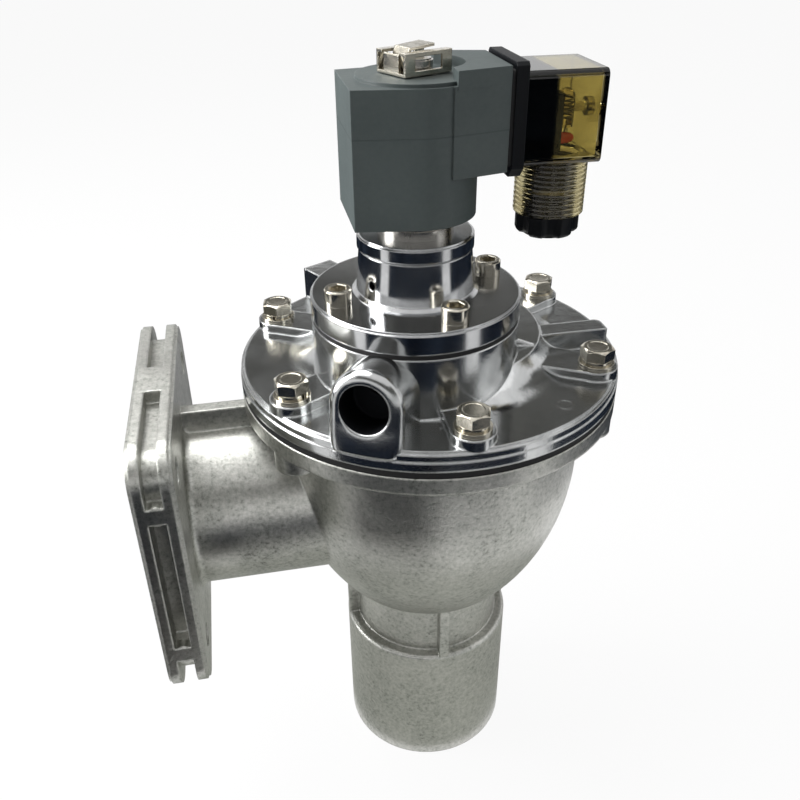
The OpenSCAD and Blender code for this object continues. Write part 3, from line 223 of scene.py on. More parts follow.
def turnedAluminium():
    # Turned and polished aluminium: bright, with very fine rings round the pilot's axis, drawn
    # coarser than they are so that they show. The wave texture's rings are 0.314 / scale apart
    look = {"low": "#a9aaab", "high": "#cdcecf", "ringPitch": 0.6 * mm, "cloud": 12 * mm, "edge": 0.7 * mm,
            "roughLow": 0.08, "roughHigh": 0.2, "bump": 0.04, "relief": 0.05 * mm,
            "markRadius": 2.4 * mm, "markWidth": 0.5 * mm, "markRise": 8.0,
            "marks": [(-11.4 * mm, -39 * mm, 213.4 * mm), (8.7 * mm, -34.1 * mm, 213.4 * mm)]}
    made, tree, place = newMaterial("turnedAluminium")
    centred = addNode(tree, "ShaderNodeMapping", {"Location": (-stageAxis[0], -stageAxis[1], 0)},
                      {"Vector": place})
    rings = addNode(tree, "ShaderNodeTexWave",
                    {"wave_type": "RINGS", "rings_direction": "Z", "Scale": 0.314 / look["ringPitch"],
                     "Distortion": 0.4, "Detail": 2.0}, {"Vector": centred.outputs[0]})
    cloud = addNode(tree, "ShaderNodeTexNoise",
                    {"Scale": 0.6 / look["cloud"], "Detail": 4.0, "Roughness": 0.6, "Distortion": 0.3},
                    {"Vector": place}).outputs["Fac"]
    colour = addNode(tree, "ShaderNodeValToRGB", {"stops": [(0.3, look["low"]), (0.7, look["high"])]},
                     {"Fac": cloud}).outputs["Color"]
    rough = addNode(tree, "ShaderNodeMapRange",
                    {"From Min": 0.3, "From Max": 0.7, "To Min": look["roughHigh"],
                     "To Max": look["roughLow"]}, {"Value": cloud}).outputs["Result"]
    marks = mouldMarks(tree, place, look["marks"], look["markRadius"], look["markWidth"])
    height = addNode(tree, "ShaderNodeMath", {"operation": "MULTIPLY_ADD", 1: look["markRise"]},
                     {0: marks, 2: rings.outputs["Fac"]})
    rounded = addNode(tree, "ShaderNodeBevel", {"samples": 6, "Radius": look["edge"]}).outputs["Normal"]
    bump = addNode(tree, "ShaderNodeBump", {"Strength": look["bump"], "Distance": look["relief"]},
                   {"Height": height.outputs[0], "Normal": rounded})
    shader = addNode(tree, "ShaderNodeBsdfPrincipled", {"Metallic": 1.0},
                     {"Base Color": colour, "Roughness": rough, "Normal": bump.outputs[0]})
    finishMaterial(tree, shader.outputs[0])
    return made


def nickelPlate():
    # Bright nickel plate on steel: warm white metal with small scuffs
    look = {"low": "#a8a294", "high": "#d8d3c6", "scuff": 1.6 * mm, "edge": 0.3 * mm, "roughLow": 0.12,
            "roughHigh": 0.28, "bump": 0.12, "relief": 0.08 * mm}
    made, tree, place = newMaterial("nickelPlate")
    scuff = addNode(tree, "ShaderNodeTexNoise",
                    {"Scale": 0.6 / look["scuff"], "Detail": 6.0, "Roughness": 0.7, "Distortion": 0.8},
                    {"Vector": place}).outputs["Fac"]
    colour = addNode(tree, "ShaderNodeValToRGB", {"stops": [(0.3, look["low"]), (0.65, look["high"])]},
                     {"Fac": scuff}).outputs["Color"]
    rough = addNode(tree, "ShaderNodeMapRange",
                    {"From Min": 0.3, "From Max": 0.7, "To Min": look["roughHigh"],
                     "To Max": look["roughLow"]}, {"Value": scuff}).outputs["Result"]
    rounded = addNode(tree, "ShaderNodeBevel", {"samples": 6, "Radius": look["edge"]}).outputs["Normal"]
    bump = addNode(tree, "ShaderNodeBump", {"Strength": look["bump"], "Distance": look["relief"]},
                   {"Height": scuff, "Normal": rounded})
    shader = addNode(tree, "ShaderNodeBsdfPrincipled", {"Metallic": 1.0},
                     {"Base Color": colour, "Roughness": rough, "Normal": bump.outputs[0]})
    finishMaterial(tree, shader.outputs[0])
    return made


def plainMetal(name, low, high, grain, roughLow, roughHigh):
    # drawn or turned metal of the small inner parts: soft streaks in colour and gloss
    made, tree, place = newMaterial(name)
    streak = addNode(tree, "ShaderNodeTexNoise",
                     {"Scale": 0.6 / grain, "Detail": 5.0, "Roughness": 0.6, "Distortion": 0.5},
                     {"Vector": place}).outputs["Fac"]
    colour = addNode(tree, "ShaderNodeValToRGB", {"stops": [(0.3, low), (0.7, high)]},
                     {"Fac": streak}).outputs["Color"]
    rough = addNode(tree, "ShaderNodeMapRange",
                    {"From Min": 0.3, "From Max": 0.7, "To Min": roughHigh, "To Max": roughLow},
                    {"Value": streak}).outputs["Result"]
    bump = addNode(tree, "ShaderNodeBump", {"Strength": 0.1, "Distance": 0.05 * mm}, {"Height": streak})
    shader = addNode(tree, "ShaderNodeBsdfPrincipled", {"Metallic": 1.0},
                     {"Base Color": colour, "Roughness": rough, "Normal": bump.outputs[0]})
    finishMaterial(tree, shader.outputs[0])
    return made


def mouldedPlastic(name, low, high, grain, rough, relief, edge, coat=0.0, seam=None, gloss=0.5):
    # injection-moulded plastic or compression-moulded rubber: even colour and spark-eroded grain.
    # seam is the height of the mould's parting line, a fine groove with a dark shade; gloss is the
    # strength of the surface's reflection, 0.5 for a plain plastic
    made, tree, place = newMaterial(name)
    fine = addNode(tree, "ShaderNodeTexNoise", {"Scale": 0.6 / grain, "Detail": 4.0, "Roughness": 0.6},
                   {"Vector": place}).outputs["Fac"]
    cloud = addNode(tree, "ShaderNodeTexNoise", {"Scale": 0.6 / (22 * mm), "Detail": 3.0, "Roughness": 0.5},
                    {"Vector": place}).outputs["Fac"]
    shade = addNode(tree, "ShaderNodeMapRange",
                    {"From Min": 0.3, "From Max": 0.7, "To Min": 0.1, "To Max": 0.55},
                    {"Value": cloud}).outputs["Result"]
    both = addNode(tree, "ShaderNodeMath", {"operation": "MULTIPLY_ADD", 1: 0.35},
                   {0: fine, 2: shade}).outputs[0]
    height = fine
    if seam:
        up = addNode(tree, "ShaderNodeSeparateXYZ", links={0: place}).outputs["Z"]
        away = addNode(tree, "ShaderNodeMath", {"operation": "SUBTRACT", 1: seam}, {0: up})
        away = addNode(tree, "ShaderNodeMath", {"operation": "ABSOLUTE"}, {0: away.outputs[0]})
        groove = addNode(tree, "ShaderNodeMapRange",
                         {"From Min": 0.1 * mm, "From Max": 0.3 * mm, "To Min": 0.0, "To Max": 1.0},
                         {"Value": away.outputs[0]}).outputs["Result"]
        both = addNode(tree, "ShaderNodeMath", {"operation": "MULTIPLY"}, {0: both, 1: groove}).outputs[0]
        height = addNode(tree, "ShaderNodeMath", {"operation": "MULTIPLY_ADD", 1: 3.0},
                         {0: groove, 2: fine}).outputs[0]
    colour = addNode(tree, "ShaderNodeValToRGB", {"stops": [(0.2, low), (0.8, high)]},
                     {"Fac": both}).outputs["Color"]
    roughness = addNode(tree, "ShaderNodeMapRange",
                        {"From Min": 0.2, "From Max": 0.8, "To Min": rough + 0.06, "To Max": rough - 0.04},
                        {"Value": both}).outputs["Result"]
    rounded = addNode(tree, "ShaderNodeBevel", {"samples": 6, "Radius": edge}).outputs["Normal"]
    bump = addNode(tree, "ShaderNodeBump", {"Strength": relief, "Distance": 0.08 * mm},
                   {"Height": height, "Normal": rounded})
    shader = addNode(tree, "ShaderNodeBsdfPrincipled", {"Coat Weight": coat, "Specular IOR Level": gloss},
                     {"Base Color": colour, "Roughness": roughness, "Normal": bump.outputs[0]})
    finishMaterial(tree, shader.outputs[0])
    return made


def amberPlastic():
    # Clear amber polycarbonate, moulded: light goes through and comes out olive honey. The box's
    # edges carry painted shade, a dark tone standing in for the thick walls seen edge-on; the barrel
    # below threadTop has an inner thread, whose ridges show through the paler wall
    low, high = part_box("connector_housing")
    look = {"low": "#ab9f6c", "high": "#c4b984", "barrelLow": "#8f835c", "barrelHigh": "#cfc59c",
            "edgeShadeTone": "#2b2412", "blockShadeTone": "#22221f", "blockEnd": low[0] + 9.2 * mm,
            "roofSheenTone": "#8a8f89", "edge": 1.7 * mm, "rough": 0.04, "flow": 6 * mm, "threadPitch": 1.5 * mm,
            "threadTop": low[2] + 17.2 * mm}
    made, tree, place = newMaterial("amberPolycarbonate")
    flow = addNode(tree, "ShaderNodeTexNoise",
                   {"Scale": 0.6 / look["flow"], "Detail": 2.0, "Roughness": 0.5, "Distortion": 0.5},
                   {"Vector": place}).outputs["Fac"]
    axes = addNode(tree, "ShaderNodeSeparateXYZ", links={0: place}).outputs
    turns = addNode(tree, "ShaderNodeMath", {"operation": "MULTIPLY", 1: 2 * math.pi / look["threadPitch"]},
                    {0: axes[2]})
    wave = addNode(tree, "ShaderNodeMath", {"operation": "SINE"}, {0: turns.outputs[0]})
    below = addNode(tree, "ShaderNodeMapRange",
                    {"From Min": look["threadTop"] - 0.1 * mm, "From Max": look["threadTop"] + 0.1 * mm,
                     "To Min": 1.0, "To Max": 0.0}, {"Value": axes[2]}).outputs["Result"]
    thread = addNode(tree, "ShaderNodeMath", {"operation": "MULTIPLY"},
                     {0: wave.outputs[0], 1: below}).outputs[0]
    tone = addNode(tree, "ShaderNodeMath", {"operation": "MULTIPLY_ADD", 1: 0.25},
                   {0: thread, 2: flow}).outputs[0]
    window = addNode(tree, "ShaderNodeValToRGB", {"stops": [(0.3, look["low"]), (0.7, look["high"])]},
                     {"Fac": tone}).outputs["Color"]
    barrel = addNode(tree, "ShaderNodeValToRGB",
                     {"stops": [(0.3, look["barrelLow"]), (0.7, look["barrelHigh"])]},
                     {"Fac": tone}).outputs["Color"]
    colour = addNode(tree, "ShaderNodeMix", {"data_type": "RGBA"},
                     {0: below, 6: window, 7: barrel}).outputs[2]
    # a point within the edge's width of two of the box's faces lies on an edge
    near = None
    spans = ((low[0], high[0]), (low[1], high[1]), (look["threadTop"], high[2]))
    for axis, (start, end) in enumerate(spans):
        away = addNode(tree, "ShaderNodeMath", {"operation": "SUBTRACT", 1: (start + end) / 2},
                       {0: axes[axis]})
        away = addNode(tree, "ShaderNodeMath", {"operation": "ABSOLUTE"}, {0: away.outputs[0]}).outputs[0]
        limit = (end - start) / 2 - look["edge"]
        inside = addNode(tree, "ShaderNodeMapRange",
                         {"From Min": limit - 0.2 * mm, "From Max": limit + 0.2 * mm, "To Min": 0.0,
                          "To Max": 1.0}, {"Value": away}).outputs["Result"]
        near = inside if near is None else addNode(tree, "ShaderNodeMath", {"operation": "ADD"},
                                                   {0: near, 1: inside}).outputs[0]
    onEdge = addNode(tree, "ShaderNodeMath", {"operation": "SUBTRACT", "use_clamp": True, 1: 1.0},
                     {0: near}).outputs[0]
    above = addNode(tree, "ShaderNodeMath", {"operation": "SUBTRACT", 0: 1.0}, {1: below}).outputs[0]
    onEdge = addNode(tree, "ShaderNodeMath", {"operation": "MULTIPLY"}, {0: onEdge, 1: above}).outputs[0]
    # painted shade: points on the box's edges are mixed to a dark tone
    colour = addNode(tree, "ShaderNodeMix", {"data_type": "RGBA", 7: hexToLinear(look["edgeShadeTone"])},
                     {0: onEdge, 6: colour}).outputs[2]
    # in front of the terminal block the wall carries painted shade: it is mixed to a near-black tone
    shadedWall = addNode(tree, "ShaderNodeMapRange",
                     {"From Min": look["blockEnd"] - 0.3 * mm, "From Max": look["blockEnd"] + 0.3 * mm,
                      "To Min": 1.0, "To Max": 0.0}, {"Value": axes[0]}).outputs["Result"]
    shadedWall = addNode(tree, "ShaderNodeMath", {"operation": "MULTIPLY"}, {0: shadedWall, 1: above}).outputs[0]
    colour = addNode(tree, "ShaderNodeMix", {"data_type": "RGBA", 7: hexToLinear(look["blockShadeTone"])},
                     {0: shadedWall, 6: colour}).outputs[2]
    # painted reflection: the roof's top face is mixed a tenth of the way to a grey tone and made that much
    # less clear
    sheenMask = addNode(tree, "ShaderNodeMapRange",
                      {"From Min": high[2] - 0.1 * mm, "From Max": high[2] - 0.02 * mm, "To Min": 0.0,
                       "To Max": 0.1}, {"Value": axes[2]}).outputs["Result"]
    colour = addNode(tree, "ShaderNodeMix", {"data_type": "RGBA", 7: hexToLinear(look["roofSheenTone"])},
                     {0: sheenMask, 6: colour}).outputs[2]
    clear = addNode(tree, "ShaderNodeMath", {"operation": "SUBTRACT", 0: 1.0}, {1: sheenMask}).outputs[0]
    height = addNode(tree, "ShaderNodeMath", {"operation": "MULTIPLY_ADD", 1: 4.0}, {0: thread, 2: flow})
    bump = addNode(tree, "ShaderNodeBump", {"Strength": 0.3, "Distance": 0.1 * mm},
                   {"Height": height.outputs[0]})
    shader = addNode(tree, "ShaderNodeBsdfPrincipled", {"Roughness": look["rough"], "IOR": 1.45},
                     {"Base Color": colour, "Normal": bump.outputs[0], "Transmission Weight": clear})
    finishMaterial(tree, shader.outputs[0])
    return made


def lampGlass():
    # glass bulb of the neon lamp
    made, tree, place = newMaterial("lampGlass")
    flow = addNode(tree, "ShaderNodeTexNoise", {"Scale": 0.6 / (3 * mm), "Detail": 2.0, "Roughness": 0.55},
                   {"Vector": place}).outputs["Fac"]
    colour = addNode(tree, "ShaderNodeValToRGB", {"stops": [(0.3, "#e9dcbc"), (0.7, "#f4ead2")]},
                     {"Fac": flow}).outputs["Color"]
    shader = addNode(tree, "ShaderNodeBsdfPrincipled",
                     {"Transmission Weight": 1.0, "Roughness": 0.08, "IOR": 1.45}, {"Base Color": colour})
    finishMaterial(tree, shader.outputs[0])
    return made


def dress(material, *names):
    for name in names:
        mesh = nodes[name].data
        mesh.materials.clear()
        mesh.materials.append(material)


dress(castAluminium(), "body_casting")
dress(polishedAluminium(), "valve_cover")
dress(turnedAluminium(), "pilot_cover", "main_upper_plate", "main_lower_plate")
# black nitrile rubber of the diaphragms and seals
rubber = mouldedPlastic("nitrileRubber", "#060607", "#111112", grain=0.8 * mm, rough=0.7, relief=0.2,
                        edge=0.3 * mm)
dress(rubber, "flange_o_ring", "main_diaphragm", "main_seat_pad", "pilot_diaphragm", "pilot_seat_pad",
      "tube_o_ring", "plunger_seal", "cushion_ring", "connector_gasket", "gland_seal")
dress(nickelPlate(), "cover_bolts", "cover_spring_washers", "cover_flat_washers", "pilot_cover_screws",
      "coil_clip", "connector_screw", "main_hub_screw", "main_hub_nut", "pilot_hub_screw")
# drawn spring steel, stainless steel and turned brass of the inner parts
dress(plainMetal("springSteelWire", "#77787b", "#a0a1a4", grain=2 * mm, roughLow=0.2, roughHigh=0.36),
      "main_spring", "pilot_spring", "plunger_spring", "gland_washer")
dress(plainMetal("stainlessSteel", "#a3a09b", "#cbc8c2", grain=3 * mm, roughLow=0.16, roughHigh=0.3),
      "plunger_tube", "fixed_core", "plunger")
dress(plainMetal("turnedBrass", "#a98542", "#cfab62", grain=3 * mm, roughLow=0.2, roughHigh=0.34),
      "pilot_upper_plate", "pilot_seat_bush", "coil_terminals")
# grey glass-filled polyamide of the coil: its arm rises above the flat top, and the mould's
# parting line lies below it
coil = {"armRise": 4 * mm, "parting": 13.2 * mm}
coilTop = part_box("coil_moulding")[1][2] - coil["armRise"]
dress(mouldedPlastic("glassFilledPolyamide", "#424b4b", "#525b5a", grain=0.9 * mm, rough=0.5, relief=0.3,
                     edge=0.5 * mm, seam=coilTop - coil["parting"]), "coil_moulding")
# black polyamide of the plug's block, its hood and the nut
blackPlastic = mouldedPlastic("blackPolyamide", "#05070b", "#0d1015", grain=0.7 * mm, rough=0.42,
                              relief=0.05, edge=0.4 * mm, gloss=0.2)
dress(blackPlastic, "connector_base", "gland_nut")
dress(amberPlastic(), "connector_housing")
dress(lampGlass(), "indicator_lamp")
# red lens of the diode and tan lacquer of the resistor, both with a clear skin
redPlastic = mouldedPlastic("redLensPlastic", "#e01c10", "#ff3a22", grain=1.2 * mm, rough=0.2, relief=0.05,
                            edge=0.1 * mm, coat=0.5)
dress(redPlastic, "indicator_led")
dress(mouldedPlastic("resistorLacquer", "#8c7a4c", "#a8955e", grain=1.0 * mm, rough=0.35, relief=0.1,
                     edge=0.1 * mm, coat=0.3), "lamp_resistor")
print("materials given to the CAD nodes")


def putCamera():
    # pinhole fitted to the photograph; angles in degrees, place in millimetres
    view = {"place": (-60.92, -258.87, 324.15), "turn": 11.0, "down": 31.51, "roll": -0.58,
            "focalPixels": 833.7, "photoPixels": 800}
    turn, down, roll = (math.radians(view[k]) for k in ("turn", "down", "roll"))
    forward = Vector((math.sin(turn) * math.cos(down), math.cos(turn) * math.cos(down), -math.sin(down)))
    level = Vector((math.cos(turn), -math.sin(turn), 0))
    upright = Vector((math.sin(turn) * math.sin(down), math.cos(turn) * math.sin(down), math.cos(down)))
    right = math.cos(roll) * level + math.sin(roll) * upright
    up = -math.sin(roll) * level + math.cos(roll) * upright
    data = bpy.data.cameras.new("photoCamera")
    data.sensor_width = 36
    data.sensor_fit = "HORIZONTAL"
    data.lens = data.sensor_width * view["focalPixels"] / view["photoPixels"]
    data.clip_start = 0.01
    data.clip_end = 20
    made = bpy.data.objects.new("photoCamera", data)
    bpy.context.scene.collection.objects.link(made)
    turned = Matrix((right, up, -forward)).transposed().to_4x4()
    made.matrix_world = Matrix.Translation(Vector(view["place"]) * mm) @ turned
    bpy.context.scene.camera = made


def stageMesh(name, points, faces, material):
    mesh = bpy.data.meshes.new(name)
    mesh.from_pydata(points, [], faces)
    mesh.materials.append(material)
    made = bpy.data.objects.new(name, mesh)
    bpy.context.scene.collection.objects.link(made)
    return made


def cardRing(name, count, share, inner, outer, low, high, start, material):
    # count cards round the object that only reflections see. Along each card the angle runs over
    # share of its sector; across it, radius and height go from inner, low to outer, high
    steps = 25
    around = np.linspace(0, 1, steps)
    angle = (np.arange(count)[:, None, None] + start + share * around[None, :, None]) * 2 * np.pi / count
    across = np.array([0.0, 1.0])[None, None, :]
    radius = inner + (outer - inner) * across
    x, y = radius * np.cos(angle), radius * np.sin(angle)
    z = np.broadcast_to(low + (high - low) * across, x.shape)
    points = np.stack([x, y, z], -1).reshape(-1, 3)
    first = (np.arange(count)[:, None] * steps + np.arange(steps - 1)[None, :]).ravel() * 2
    faces = np.stack([first, first + 1, first + 3, first + 2], -1)
    made = stageMesh(name, points.tolist(), faces.tolist(), material)
    made.visible_camera = made.visible_diffuse = made.visible_transmission = made.visible_shadow = False


def glowCard(name, low, high):
    # glowing card, a painted reflection: it shines at the tone it is written with, and only reflections see
    # it
    made, tree, place = newMaterial(name)
    cloud = addNode(tree, "ShaderNodeTexNoise",
                    {"Scale": 0.6 / (120 * mm), "Detail": 2.0, "Roughness": 0.55},
                    {"Vector": place}).outputs["Fac"]
    tone = addNode(tree, "ShaderNodeValToRGB", {"stops": [(0.35, low), (0.65, high)]},
                   {"Fac": cloud}).outputs["Color"]
    glow = addNode(tree, "ShaderNodeEmission", {"Strength": 1.0}, {"Color": tone})
    finishMaterial(tree, glow.outputs[0])
    return made


def putStudio():
    # pale floor and white backdrop, soft lamps above, left and right, and dark glowing cards, painted
    # reflections that give the bright metal something to reflect
    studio = {"floorSize": 40.0, "floorGlow": 0.93, "world": 0.26, "top": 9.0, "left": 11.0, "right": 0.4}
    base = cadBox[0][2] - 0.2 * mm
    size = studio["floorSize"] / 2
    made, tree, place = newMaterial("palePaper")
    cloud = addNode(tree, "ShaderNodeTexNoise",
                    {"Scale": 0.6 / (60 * mm), "Detail": 2.0, "Roughness": 0.55},
                    {"Vector": place}).outputs["Fac"]
    tone = addNode(tree, "ShaderNodeValToRGB", {"stops": [(0.0, "#f2f2f2"), (1.0, "#f6f6f6")]},
                   {"Fac": cloud}).outputs["Color"]
    matte = addNode(tree, "ShaderNodeBsdfDiffuse", links={"Color": tone})
    glow = addNode(tree, "ShaderNodeEmission", {"Color": (1, 1, 1, 1), "Strength": 1.0})
    path = addNode(tree, "ShaderNodeLightPath")
    seen = addNode(tree, "ShaderNodeMath", {"operation": "MAXIMUM"},
                   {0: path.outputs["Is Camera Ray"], 1: path.outputs["Is Glossy Ray"]})
    seenAll = addNode(tree, "ShaderNodeMath", {"operation": "MAXIMUM"},
                    {0: seen.outputs[0], 1: path.outputs["Is Transmission Ray"]})
    share = addNode(tree, "ShaderNodeMath", {"operation": "MULTIPLY", 1: studio["floorGlow"]},
                    {0: seenAll.outputs[0]})
    mix = addNode(tree, "ShaderNodeMixShader",
                  links={0: share.outputs[0], 1: matte.outputs[0], 2: glow.outputs[0]})
    finishMaterial(tree, mix.outputs[0])
    stageMesh("paleFloor",
              [(-size, -size, base), (size, -size, base), (size, size, base), (-size, size, base)],
              [(0, 1, 2, 3)], made)

    # count, share of the sector, inner and outer radius, start, height of the inner and the outer
    # edge, paper and its two tones
    low = base + 1 * mm
    cards = {"floorCards": (3, 0.86, 0.25, 3.0, -1.28, low, low, "blackPaper", "#10151d", "#2c3440"),
             "pipeCard": (1, 0.17, 0.155, 0.25, -0.44, low, low, "brownPaper", "#14110e", "#2a2520"),
             # the grey tail card is painted shade: in the tail's reflection it stands in for the shadow
             # where the tail meets the floor
             "tailCard": (1, 1.0, 0.036, 0.12, 0.0, low, low, "tailShadeGlow", "#a0a29c", "#bcbeb8"),
             "wallCards": (2, 0.8, 1.1, 1.1, 0.04, 0.6, 1.3, "greyPaper", "#4a4a48", "#70706c")}
    for name, (count, share, inner, outer, start, low, high, paper, dark, light) in cards.items():
        cardRing(name, count, share, inner, outer, low, high, start, glowCard(paper, dark, light))

    world = bpy.data.worlds.new("studioWorld")
    bpy.context.scene.world = world
    world.use_nodes = True
    tree = world.node_tree
    tree.nodes.clear()
    path = addNode(tree, "ShaderNodeLightPath")
    white = addNode(tree, "ShaderNodeBackground", {"Color": (1, 1, 1, 1), "Strength": 1.0})
    soft = addNode(tree, "ShaderNodeBackground", {"Color": (1, 1, 1, 1), "Strength": studio["world"]})
    seen = addNode(tree, "ShaderNodeMath", {"operation": "MAXIMUM"},
                   {0: path.outputs["Is Camera Ray"], 1: path.outputs["Is Transmission Ray"]})
    seenAll = addNode(tree, "ShaderNodeMath", {"operation": "MAXIMUM"},
                    {0: seen.outputs[0], 1: path.outputs["Is Glossy Ray"]})
    mix = addNode(tree, "ShaderNodeMixShader",
                  links={0: seenAll.outputs[0], 1: soft.outputs[0], 2: white.outputs[0]})
    addNode(tree, "ShaderNodeOutputWorld", links={"Surface": mix.outputs[0]})

    # name, place, width and height, power
    lamps = (("topLamp", (-0.35, 0.3, 1.0), (0.9, 0.7), studio["top"]),
             ("leftLamp", (-0.95, 0.12, 0.5), (0.5, 0.8), studio["left"]),
             ("rightLamp", (0.85, -0.4, 0.6), (0.3, 0.8), studio["right"]))
    for name, place, spread, power in lamps:
        data = bpy.data.lights.new(name, "AREA")
        data.shape = "RECTANGLE"
        data.size, data.size_y = spread
        data.energy = power
        lamp = bpy.data.objects.new(name, data)
        bpy.context.scene.collection.objects.link(lamp)
        lamp.location = place
        lamp.rotation_euler = (Vector((0, 0, 0.16)) - Vector(place)).to_track_quat("-Z", "Y").to_euler()


def ringFaces(rows, sides):
    # quads between rows of rings, whose points run round and close on themselves
    row = np.arange(rows - 1)[:, None] * sides
    here = np.arange(sides)[None, :]
    after = (here + 1) % sides
    return np.stack([row + here, row + after, row + sides + after, row + sides + here], -1).reshape(-1, 4)


def wire(name, path, radius, material, body, sides=10):
    # round wire along a path: at each point a ring of radius times (cos, sin) in the plane across
    # the path. The radius is one number or one per point; the first and last rings are closed by
    # one face each
    path = np.asarray(path)
    along = np.gradient(path, axis=0)
    along /= np.linalg.norm(along, axis=1)[:, None]
    side = np.cross(along, np.array([0.13, 0.31, 0.94]))
    side /= np.linalg.norm(side, axis=1)[:, None]
    over = np.cross(along, side)
    turn = np.arange(sides) * 2 * np.pi / sides
    radius = np.broadcast_to(radius, len(path))[:, None, None]
    rings = path[:, None, :] + radius * (np.cos(turn)[None, :, None] * side[:, None, :]
                                         + np.sin(turn)[None, :, None] * over[:, None, :])
    quads = ringFaces(len(path), sides)
    last = (len(path) - 1) * sides
    caps = [list(range(sides))[::-1], list(range(last, last + sides))]
    return newPiece(name, rings.reshape(-1, 3), quads.tolist() + caps, material, body)


def newPiece(name, points, faces, material, body, smooth=True):
    mesh = bpy.data.meshes.new(name)
    mesh.from_pydata(np.asarray(points).tolist(), [], faces)
    mesh.polygons.foreach_set("use_smooth", np.full(len(mesh.polygons), smooth))
    mesh.materials.append(material)
    made = bpy.data.objects.new(name, mesh)
    bpy.context.scene.collection.objects.link(made)
    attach(made, body)
    return made


def lampWires(material):
    # neon lamp: a spiral inside the bulb and two leads down to the terminal block. On the spiral
    # the angle grows evenly with the height
    lamp = {"turns": 5.5, "spiralRadius": 1.45 * mm, "spiralFoot": 0.18, "spiralShare": 0.6,
            "wireRadius": 0.24 * mm, "leadRadius": 0.3 * mm, "leadTop": 0.6 * mm, "leadDrop": 3.4 * mm,
            "leadAside": 1.2 * mm, "leadReach": 2.2 * mm}
    low, high = (np.array(c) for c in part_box("indicator_lamp"))
    middle = (low + high) / 2
    t = np.linspace(0, 1, 111)
    angle = 2 * np.pi * lamp["turns"] * t
    height = low[2] + (high[2] - low[2]) * (lamp["spiralFoot"] + lamp["spiralShare"] * t)
    path = np.stack([middle[0] + lamp["spiralRadius"] * np.cos(angle),
                     middle[1] + lamp["spiralRadius"] * np.sin(angle), height], -1)
    wire("lampSpiral", path, lamp["wireRadius"], material, "coil", sides=8)
    t = np.linspace(0, 1, 15)
    for name, aside in (("lampLeadA", -lamp["leadAside"]), ("lampLeadB", lamp["leadAside"])):
        back = lamp["leadReach"] * (1 - np.cos(t * np.pi / 2))
        down = lamp["leadDrop"] * np.sin(t * np.pi / 2)
        path = np.stack([middle[0] - back, middle[1] + aside * (1 + t), low[2] + lamp["leadTop"] - down],
                        -1)
        wire(name, path, lamp["leadRadius"], material, "coil", sides=8)


def closingSprings(material):
    # the three springs: piece, joint, radius below and above, wire, turns and travel. Along the wire
    # the angle grows evenly, and the height stands still for three quarters of a turn at each end
    springs = {"main_spring": ("mainSpring", "main_lift", 14.0 * mm, 25.0 * mm, 1.5 * mm, 4, 6.0 * mm),
               "pilot_spring": ("pilotSpring", "pilot_lift", 7.2 * mm, 7.2 * mm, 1.0 * mm, 4, 2.4 * mm),
               "plunger_spring": ("plungerSpring", "plunger_lift", 2.5 * mm, 2.5 * mm, 0.6 * mm, 7,
                                  1.8 * mm)}
    for node, (name, joint, lowRadius, highRadius, thickness, turns, travel) in springs.items():
        low, high = (np.array(c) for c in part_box(node))
        centre = (0, 0) if node == "main_spring" else stageAxis
        t = np.linspace(0, turns, turns * 28 + 1)
        away = lowRadius + (highRadius - lowRadius) * t / turns
        rise = np.clip((t - 0.75) / (turns - 1.5), 0, 1)
        height = low[2] + thickness / 2 + (high[2] - low[2] - thickness) * rise
        path = np.stack([centre[0] + away * np.cos(2 * np.pi * t), centre[1] + away * np.sin(2 * np.pi * t),
                         height], -1)
        made = wire(name, path, thickness / 2, material, "valve")
        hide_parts(node)
        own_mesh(made)


def redLens(material):
    # diode's lens, lying in the terminal block: a collar over the first part, then a body whose
    # radius falls as sqrt(1 - s^3) from there to the tip
    low, high = (np.array(c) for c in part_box("indicator_led"))
    lens = {"start": -1.2 * mm, "end": 1.1 * mm, "radius": 1.7 * mm, "collar": 2.0 * mm,
            "collarShare": 0.3}
    t = np.linspace(0, 1, 21)
    x = low[0] + lens["start"] + (high[0] - low[0] + lens["end"] - lens["start"]) * t
    s = (t - lens["collarShare"]) / (1 - lens["collarShare"])
    radius = np.where(s < 0, lens["collar"], lens["radius"] * np.sqrt(np.clip(1 - s ** 3, 0.01, 1)))
    middle = (low + high) / 2
    made = wire("redLens", np.stack([x, middle[1] + 0 * x, middle[2] + 0 * x], -1), radius, material,
                "coil", sides=24)
    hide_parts("indicator_led")


def turnedPieces(name, profile, sides, places, turns, material, body):
    # bodies of revolution that may have flats: the profile's rows are (radius, height), each one
    # number or one per side; each place gets a copy turned by its own angle. The first and last
    # rows are closed by one face each
    rows = len(profile)
    radius, height = (np.stack([np.broadcast_to(row[k], sides) for row in profile]) for k in (0, 1))
    angle = np.arange(sides) * 2 * np.pi / sides
    spot = np.asarray(places)[:, None, None, :]
    angle = angle[None, None, :] + np.asarray(turns)[:, None, None]
    points = spot + np.stack([radius * np.cos(angle), radius * np.sin(angle),
                              np.broadcast_to(height, (len(places),) + height.shape)], -1)
    start = np.arange(len(places))[:, None] * rows * sides
    quads = (start[:, :, None] + ringFaces(rows, sides)[None, :, :]).reshape(-1, 4)
    low = start + np.arange(sides)[::-1][None, :]
    high = start + (rows - 1) * sides + np.arange(sides)[None, :]
    made = newPiece(name, points.reshape(-1, 3), quads.tolist() + low.tolist() + high.tolist(),
                    material, body)
    made.data.set_sharp_from_angle(angle=math.radians(28))
    return made


def hexRadius(sides, flat):
    # distance from the axis to a hexagon whose flats are flat across, corner at angle 0
    angle = np.arange(sides) * 2 * np.pi / sides
    return flat / 2 / np.cos((angle % (np.pi / 3)) - np.pi / 6)


